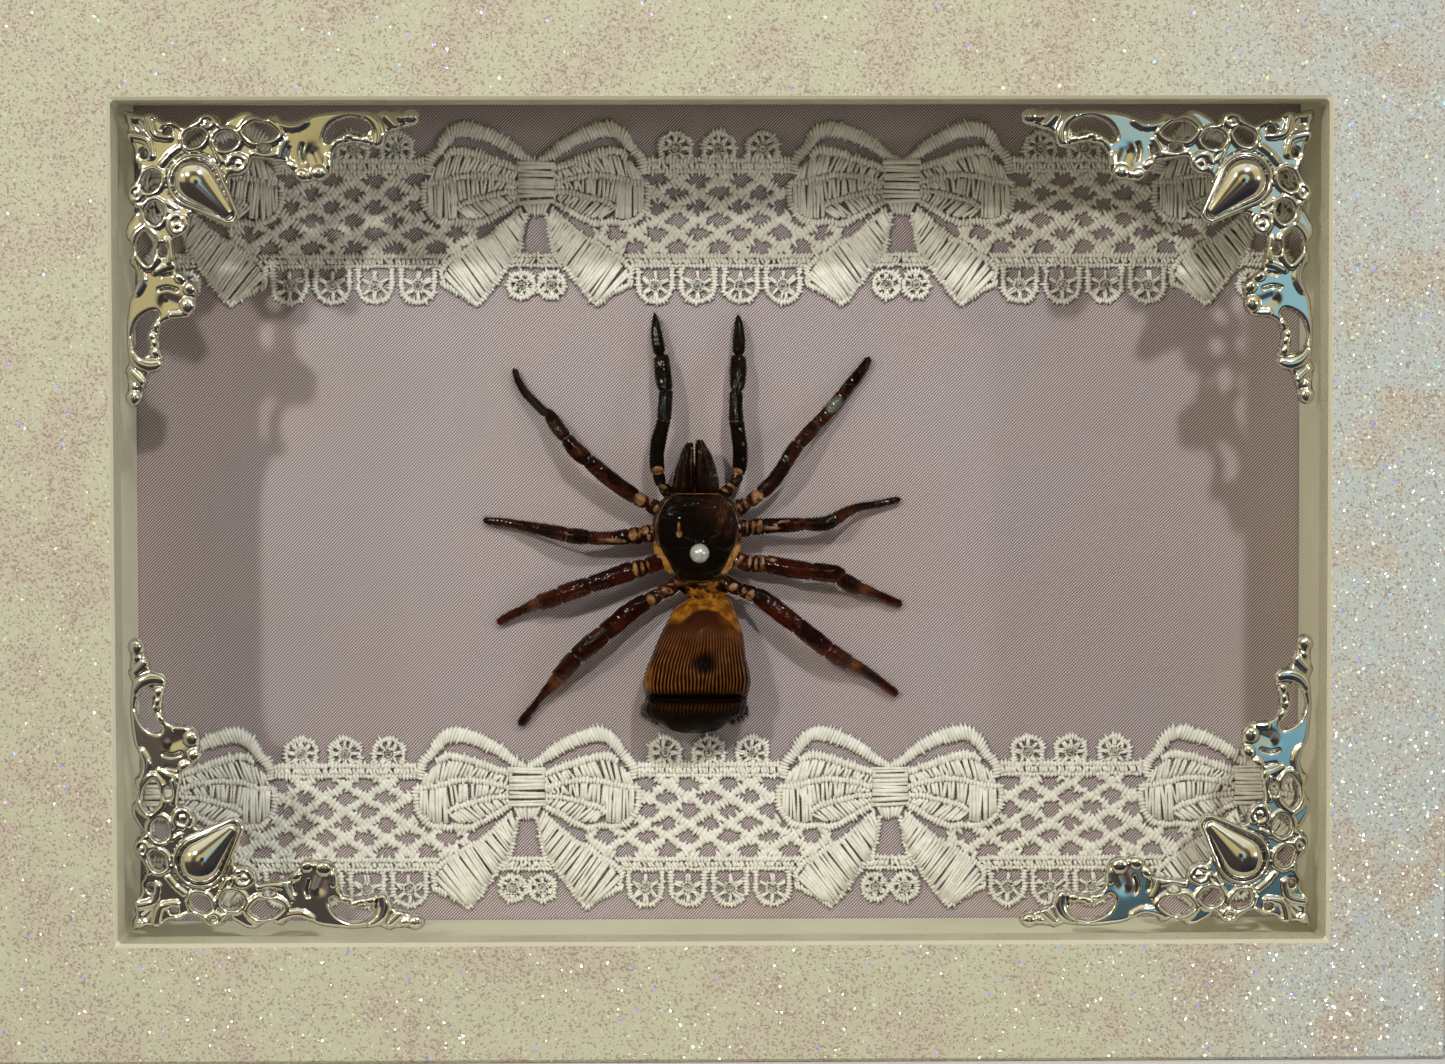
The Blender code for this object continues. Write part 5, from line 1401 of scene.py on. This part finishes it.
def limb(name, number):
    """Rings along a smooth path through the stations. Radius = half width, less a Gaussian crease at each
    joint, less two furrows along the limb, with smooth dents all round and wrinkles on the upper side.
    The marks hold tan skin, warmth and bloom. Returns the shell, the path and the half widths."""
    segments, creases, discs = LIMBS[name]
    lifts = PALP_LIFTS if name.startswith("palp") else LEG_LIFTS
    stations = np.concatenate([np.asarray(segment, float) for segment in segments])
    reach = np.concatenate([[0], np.cumsum(np.linalg.norm(np.diff(stations[:, :2], axis=0), axis=1))])
    counts = np.cumsum([len(segment) for segment in segments])[:-1]
    joints = (reach[counts - 1] + reach[counts]) / 2
    at = np.linspace(0, reach[-1], int(reach[-1] / 0.6))
    u, v, half = (np.interp(at, reach, column) for column in stations.T)
    path = np.stack([u, v, np.interp(at, np.concatenate([[0], joints, [reach[-1]]]), lifts)], -1)
    for _ in range(30):
        path[1:-1] = (path[:-2] + 2 * path[1:-1] + path[2:]) / 4
    for joint, crease in zip(joints, creases):
        half = half * (1 - crease * np.exp(-((at - joint) / 1.0) ** 2))
    half = half * np.sqrt(np.clip(at / 2.2 + 0.03, 0.03, 1))
    along = np.gradient(path[:, :2], axis=0)
    along = along / np.linalg.norm(along, axis=1, keepdims=True)
    side = np.stack([-along[:, 1], along[:, 0]], -1)
    turn = np.linspace(0, math.tau, 28, endpoint=False)[None]
    length = at[:, None]
    spot_round = (length, np.cos(turn) * half[:, None], np.sin(turn) * half[:, None])
    wander = 0.35 * ripples(50 + number, 0.03, length, 0 * length)
    furrow = 0.11 * np.exp(-((turn - 1.2 - wander) / 0.20) ** 2)
    furrow = furrow + 0.08 * np.exp(-((turn - 2.1 - wander) / 0.17) ** 2)
    wrinkles = 0.046 * ripples(80 + number, 0.7, *spot_round)
    wrinkles = wrinkles + 0.040 * ripples(130 + number, 1.5, *spot_round)
    dents = 0.052 * ripples(60 + number, 0.22, *spot_round)
    dents = dents + wrinkles * np.clip(0.12 + np.sin(turn), 0, 1)
    radius = half[:, None] * (1 - furrow + dents)
    u = path[:, :1] + side[:, :1] * np.cos(turn) * radius
    v = path[:, 1:2] + side[:, 1:2] * np.cos(turn) * radius
    lift = np.maximum(path[:, 2:3] + np.sin(turn) * radius * PIXEL * 0.88, 0.25)
    upper = np.clip(np.sin(turn) * 4 + 1, 0, 1)
    tan = np.zeros_like(u)
    for centre, across, tall, lean in discs:
        uneven = 1 + 0.10 * ripples(140 + number, 0.6, u, v)
        mark = blot(u, v, centre, across * uneven, tall * uneven, 0.16, lean) * upper
        tan = np.maximum(tan, mark * np.clip(0.85 + 0.35 * ripples(150 + number, 0.7, u, v), 0.3, 1))
        lift = lift + 0.20 * mark
    crease = sum(np.exp(-((length - joint) / 1.3) ** 2) for joint in joints[1:4])
    tan = np.maximum(tan, 0.42 * crease * upper * np.clip(0.5 + ripples(90 + number, 0.5, u, v), 0, 1))
    hips = np.clip((length - joints[-2] + 1) / 3, 0, 1)
    lumps = ripples(110 + number, 0.55, *spot_round)
    wide_round = (length, spot_round[1] * 1.5, spot_round[2])
    warm = 0.24 + 0.9 * ripples(100 + number, 0.10, *wide_round)
    warm = np.clip(warm + 0.5 * ripples(120 + number, 0.5, *wide_round), 0, 1.4)
    warm = warm * (1 - hips) + hips * np.clip(0.35 + 0.9 * lumps, 0, 1.3)
    tan = np.maximum(tan, hips * np.clip(lumps * 1.4 - 0.5, 0, 0.55) * upper)
    lift = lift + 0.16 * hips * lumps * upper
    pale = 0 * u
    # One leg has a spot of pale bloom, and the palps stay black up to their hips.
    if name == "leg_right_1":
        pale = 0.95 * blot(u, v, (834, 404.5), 10, 6.6, 0.4, -48)
    if name.startswith("palp"):
        warm = warm * (0.15 + 0.75 * hips)
    # The rear legs are redder along their lower edge and beside the second joint from the tip.
    if name[-1] in "34":
        glow = np.exp(-((length - joints[1] + 5) / 7) ** 2)
        below = side[:, 1:2] * np.cos(turn) * np.clip(np.cos(turn) ** 2, 0, 1)
        warm = np.clip(warm * 0.6 + 0.75 * np.clip(below, 0, 1) + 0.9 * glow, 0, 1.5)
        tan = np.maximum(tan, 0.36 * glow * upper)
    return skin(u, v, lift, {"warm": warm, "tan": tan, "pale": pale}), path, half


# By the last letter of a limb's name: palps are black, the front legs brown, the rear legs red brown.
BLACK, BROWN, RED = (black_shell, "black_shell"), (brown_shell, "brown_shell"), (red_shell, "red_brown_shell")
LIMB_SHELLS = {"t": BLACK, "1": BROWN, "2": BROWN, "3": RED, "4": RED}
limb_paths = []
for number, name in enumerate(LIMBS):
    shell, path, half = limb(name, number)
    piece(name + "_shell", [shell], *LIMB_SHELLS[name[-1]], [name], marks=SHELL_MARKS)
    limb_paths.append((path, half))


# Hair: short stiff hairs along the legs and palps, and a fringe at both sides of the abdomen's rear. Each
# is a thin three-sided spike that leans towards the tip, dark and without gloss.
def spikes(roots, ways, lengths, thick):
    """Spikes from roots: rings of three points at the root, half way with a slight bend, and the tip."""
    share = np.array([0, 0.55, 1.0])[None, :, None, None]
    shrink = np.array([1.0, 0.7, 0.12])[None, :, None, None]
    ways = ways / np.linalg.norm(ways, axis=1, keepdims=True)
    first = np.cross(ways, (0.31, -0.52, 0.79))
    first = first / np.linalg.norm(first, axis=1, keepdims=True)
    second = np.cross(ways, first)
    turn = (np.arange(3) * math.tau / 3)[None, None, :, None]
    centre = roots[:, None, None] + ways[:, None, None] * lengths[:, None, None, None] * share
    centre = centre + np.array([0, 1, 0]) * lengths[:, None, None, None] * 0.22 * share ** 2
    across = first[:, None, None] * np.cos(turn) + second[:, None, None] * np.sin(turn)
    return (*tubes(centre + across * shrink * thick), {})


def limb_hairs():
    """Hairs on both flanks of each limb, most of them near its tip: their roots, ways and lengths."""
    roots, ways, lengths = [], [], []
    for path, half in limb_paths:
        count = 300
        low = (draw.beta(1.0, 1.7, count) * len(path) * 0.8).astype(int)
        flank = np.where(draw.random(count) < 0.5, 0.0, math.pi)
        turn = flank + np.where(flank > 0, -1, 1) * draw.normal(-0.05, 0.22, count)
        place, along = path[low], np.gradient(path[:, :2], axis=0)[low]
        along = along / np.linalg.norm(along, axis=1, keepdims=True)
        side = np.stack([-along[:, 1], along[:, 0]], -1)
        out, reach = side * np.cos(turn)[:, None], half[low][:, None]
        rise = np.sin(turn) * reach[:, 0] * PIXEL
        base = over_satin(*(place[:, :2] + out * reach * 0.96).T, (place[:, 2] + rise * 0.85) * MM)
        end = over_satin(*(place[:, :2] + out * (reach + 4) - along * 5).T, (place[:, 2] + rise * 1.6) * MM)
        roots.append(base)
        ways.append(end - base)
        lengths.append(draw.uniform(0.25, 0.75, count) * MM)
    return np.concatenate(roots), np.concatenate(ways), np.concatenate(lengths)


def fringe_hairs():
    """Hairs at the two sides of the abdomen's rear rim, pointing out and to the rear."""
    count = 900
    side = np.where(draw.random(count) < 0.5, -1, 1)
    level = draw.uniform(700, 721, count)
    rows = stationed(ABDOMEN, 240)
    half = np.interp(level, rows[:, 0], rows[:, 2])
    turn = draw.uniform(-0.5, 0.5, count)
    u = 694.6 + side * half * np.cos(turn) * 0.98
    lift = 5.0 + 6.5 * np.sin(turn)
    base = over_satin(u, level, lift * MM)
    rear = level + draw.uniform(4, 10, count)
    end = over_satin(u + side * 4 * np.cos(turn), rear, (lift + 0.8 * np.sin(turn)) * MM)
    return base, end - base, draw.uniform(0.5, 1.25, count) * MM


limb_hair, fringe = limb_hairs(), fringe_hairs()
hair, _ = finish("brown_hair", Roughness=1.0, Specular_IOR_Level=0.0, Base_Color=(0.008, 0.004, 0.0025))
piece("spider_hairs", [spikes(*limb_hair, 0.014 * MM), spikes(*fringe, 0.020 * MM)], hair, "brown_shell")


# Pin: a steel pin pushed through the shield and the satin into the foam board, which holds it. Its head
# is a white pearl of three millimetres.
def pearl():
    """A sphere of rings of points round the pin's line, with its poles closed by fans."""
    low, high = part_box("pin_pearl")
    centre, radius = np.array((low + high) / 2), (high.x - low.x) / 2
    polar = np.linspace(0.04, math.pi - 0.04, 26)[:, None]
    turn = np.linspace(0, math.tau, 40, endpoint=False)[None]
    x, y, z = np.sin(polar) * np.cos(turn), np.cos(polar) + 0 * turn, np.sin(polar) * np.sin(turn)
    sphere = np.stack([x, y, z], -1)
    return (*tubes((centre + sphere * radius)[None]), {})


def pearl_finish():
    """Pearl lustre: part mirror, part soft white, with painted shade that darkens it where its surface
    turns away from the view.
    """
    material, place = finish("white_pearl", Roughness=0.24, Metallic=0.5)
    # Painted shade: darker towards the edge as seen from the view.
    turned = place.node("LayerWeight", {}, {"Blend": 0.35}, output="Facing")
    colour = turned.mixed((0.64, 0.65, 0.60), (0.13, 0.13, 0.11))
    cloud = place.noise(700.0).between(0.35, 0.65)
    set_finish(material, Base_Color=cloud.mixed(colour, (0.42, 0.42, 0.38)), Coat_Weight=1.0,
               Coat_Roughness=0.06)
    return material


dress("pin_shaft", steel)
piece("pearl_head", [pearl()], pearl_finish(), "pearl", ["pin_pearl"])


# Room: a pale floor, soft light from all round, and four small lamps in front of the box with narrow beams,
# the strongest at the upper right. Mirrors see the colours of the room and its window, not the floor.
FLOOR_REACH = 6.0
LAMP_DISTANCE, LAMP_SIZE, LAMP_BEAM = 1.5, 0.06, math.radians(80)


def lay_floor():
    """The floor, just below the box, which mirror rays pass through."""
    mesh = bpy.data.meshes.new("floor")
    signs = ((-1, -1), (1, -1), (1, 1), (-1, 1))
    mesh.from_pydata([(x * FLOOR_REACH, y * FLOOR_REACH, -0.1 * MM) for x, y in signs], [], [(0, 1, 2, 3)])
    material, place = finish("pale_floor", Base_Color=(0.72, 0.71, 0.69), Roughness=0.7)
    let_through(material, place, place.ray("Is Glossy Ray"))
    mesh.materials.append(material)
    floor = bpy.data.objects.new("floor", mesh)
    bpy.context.scene.collection.objects.link(floor)


def lamp(name, towards, power, colour):
    """A round lamp that looks at the middle of the box from the direction `towards`."""
    light = bpy.data.lights.new(name, "AREA")
    light.shape, light.size, light.spread = "DISK", LAMP_SIZE, LAMP_BEAM
    light.energy, light.color = power, colour
    thing = bpy.data.objects.new(name, light)
    way = Vector(towards).normalized()
    place = Matrix.Translation(Vector((0, 0, MIDDLE)) + way * LAMP_DISTANCE)
    thing.matrix_world = place @ way.to_track_quat("Z", "Y").to_matrix().to_4x4()
    bpy.context.scene.collection.objects.link(thing)


def soft_room():
    """The room's own light: warm from the left, neutral from above, cool from a window far to the right.
    Mirrors see a crisper room: dark below, olive walls, a pale ceiling, a blue window at the right, and
    dark straight in front, where the viewer stands. Behind the pane they see it dark."""
    world = bpy.data.worlds.new("soft_room")
    bpy.context.scene.world = world
    world.use_nodes = True
    tree = world.node_tree
    way = Wire(tree.nodes.new("ShaderNodeTexCoord").outputs["Generated"])
    right, ahead, up = way.part("X"), way.part("Y"), way.part("Z")
    front = 0 - ahead
    # What lights dull surfaces.
    soft = right.between(-0.9, 0.2).mixed((0.50, 0.425, 0.33), (0.28, 0.222, 0.20))
    soft = right.between(0.62, 0.9).mixed(soft, (0.25, 0.29, 0.36))
    soft = up.between(0.35, 0.95).mixed(soft, (0.23, 0.193, 0.185))
    # What mirrors see, from the ground up to the ceiling, then the window and the dark beside it.
    mirrored = up.between(-0.6, -0.12).mixed((0.03, 0.022, 0.02), (0.24, 0.19, 0.165))
    mirrored = up.between(-0.10, 0.06).mixed(mirrored, (0.55, 0.48, 0.235))
    mirrored = up.between(0.3, 0.8).mixed(mirrored, (0.80, 0.76, 0.60))
    window = up.between(-0.165, -0.075).mixed((0.015, 0.04, 0.065), (0.24, 0.52, 0.66))
    window = up.between(-0.02, 0.14).mixed(window, (0.42, 0.52, 0.50))
    beside = right.between(0.18, 0.26) * (1 - up.between(-0.10, 0.08)) * 0.85
    mirrored = beside.mixed(mirrored, (0.02, 0.025, 0.035))
    mirrored = (right.between(0.075, 0.13) * (1 - right.between(0.19, 0.27))).mixed(mirrored, window)
    # The dark behind the box, a dark ring round the viewer, the viewer, and the dark at the lower left.
    mirrored = (ahead.between(-0.35, 0.1) * 0.85).mixed(mirrored, (0.07, 0.05, 0.035))
    ring = front.between(0.80, 0.88) * (1 - front.between(0.945, 0.966))
    mirrored = (ring * 0.88).mixed(mirrored, (0.05, 0.035, 0.025))
    mirrored = front.between(0.990, 0.997).mixed(mirrored, (0.03, 0.025, 0.02))
    low_left = (1 - right.between(-0.06, 0.04)) * (1 - up.between(-0.12, -0.03))
    mirrored = (low_left * 0.9).mixed(mirrored, (0.05, 0.042, 0.04))
    mirrored = (way.ray("Transmission Depth") > 0.5).mixed(mirrored, (0.05, 0.042, 0.04))
    feed(tree.nodes["Background"].inputs["Color"], way.ray("Is Glossy Ray").mixed(soft, mirrored))


lay_floor()
soft_room()
lamp("key_lamp", (0.235, -1, 0.66), 2.12, (0.95, 0.98, 1.0))
lamp("left_lamp", (-0.513, -1, 0.43), 1.43, (1.0, 0.97, 0.92))
lamp("far_left_lamp", (-1.08, -1, 0.45), 0.33, (1.0, 0.94, 0.84))
lamp("right_lamp", (1.28, -1, 0.1), 0.69, (0.92, 0.97, 1.0))
bpy.context.scene.view_settings.view_transform = "Standard"
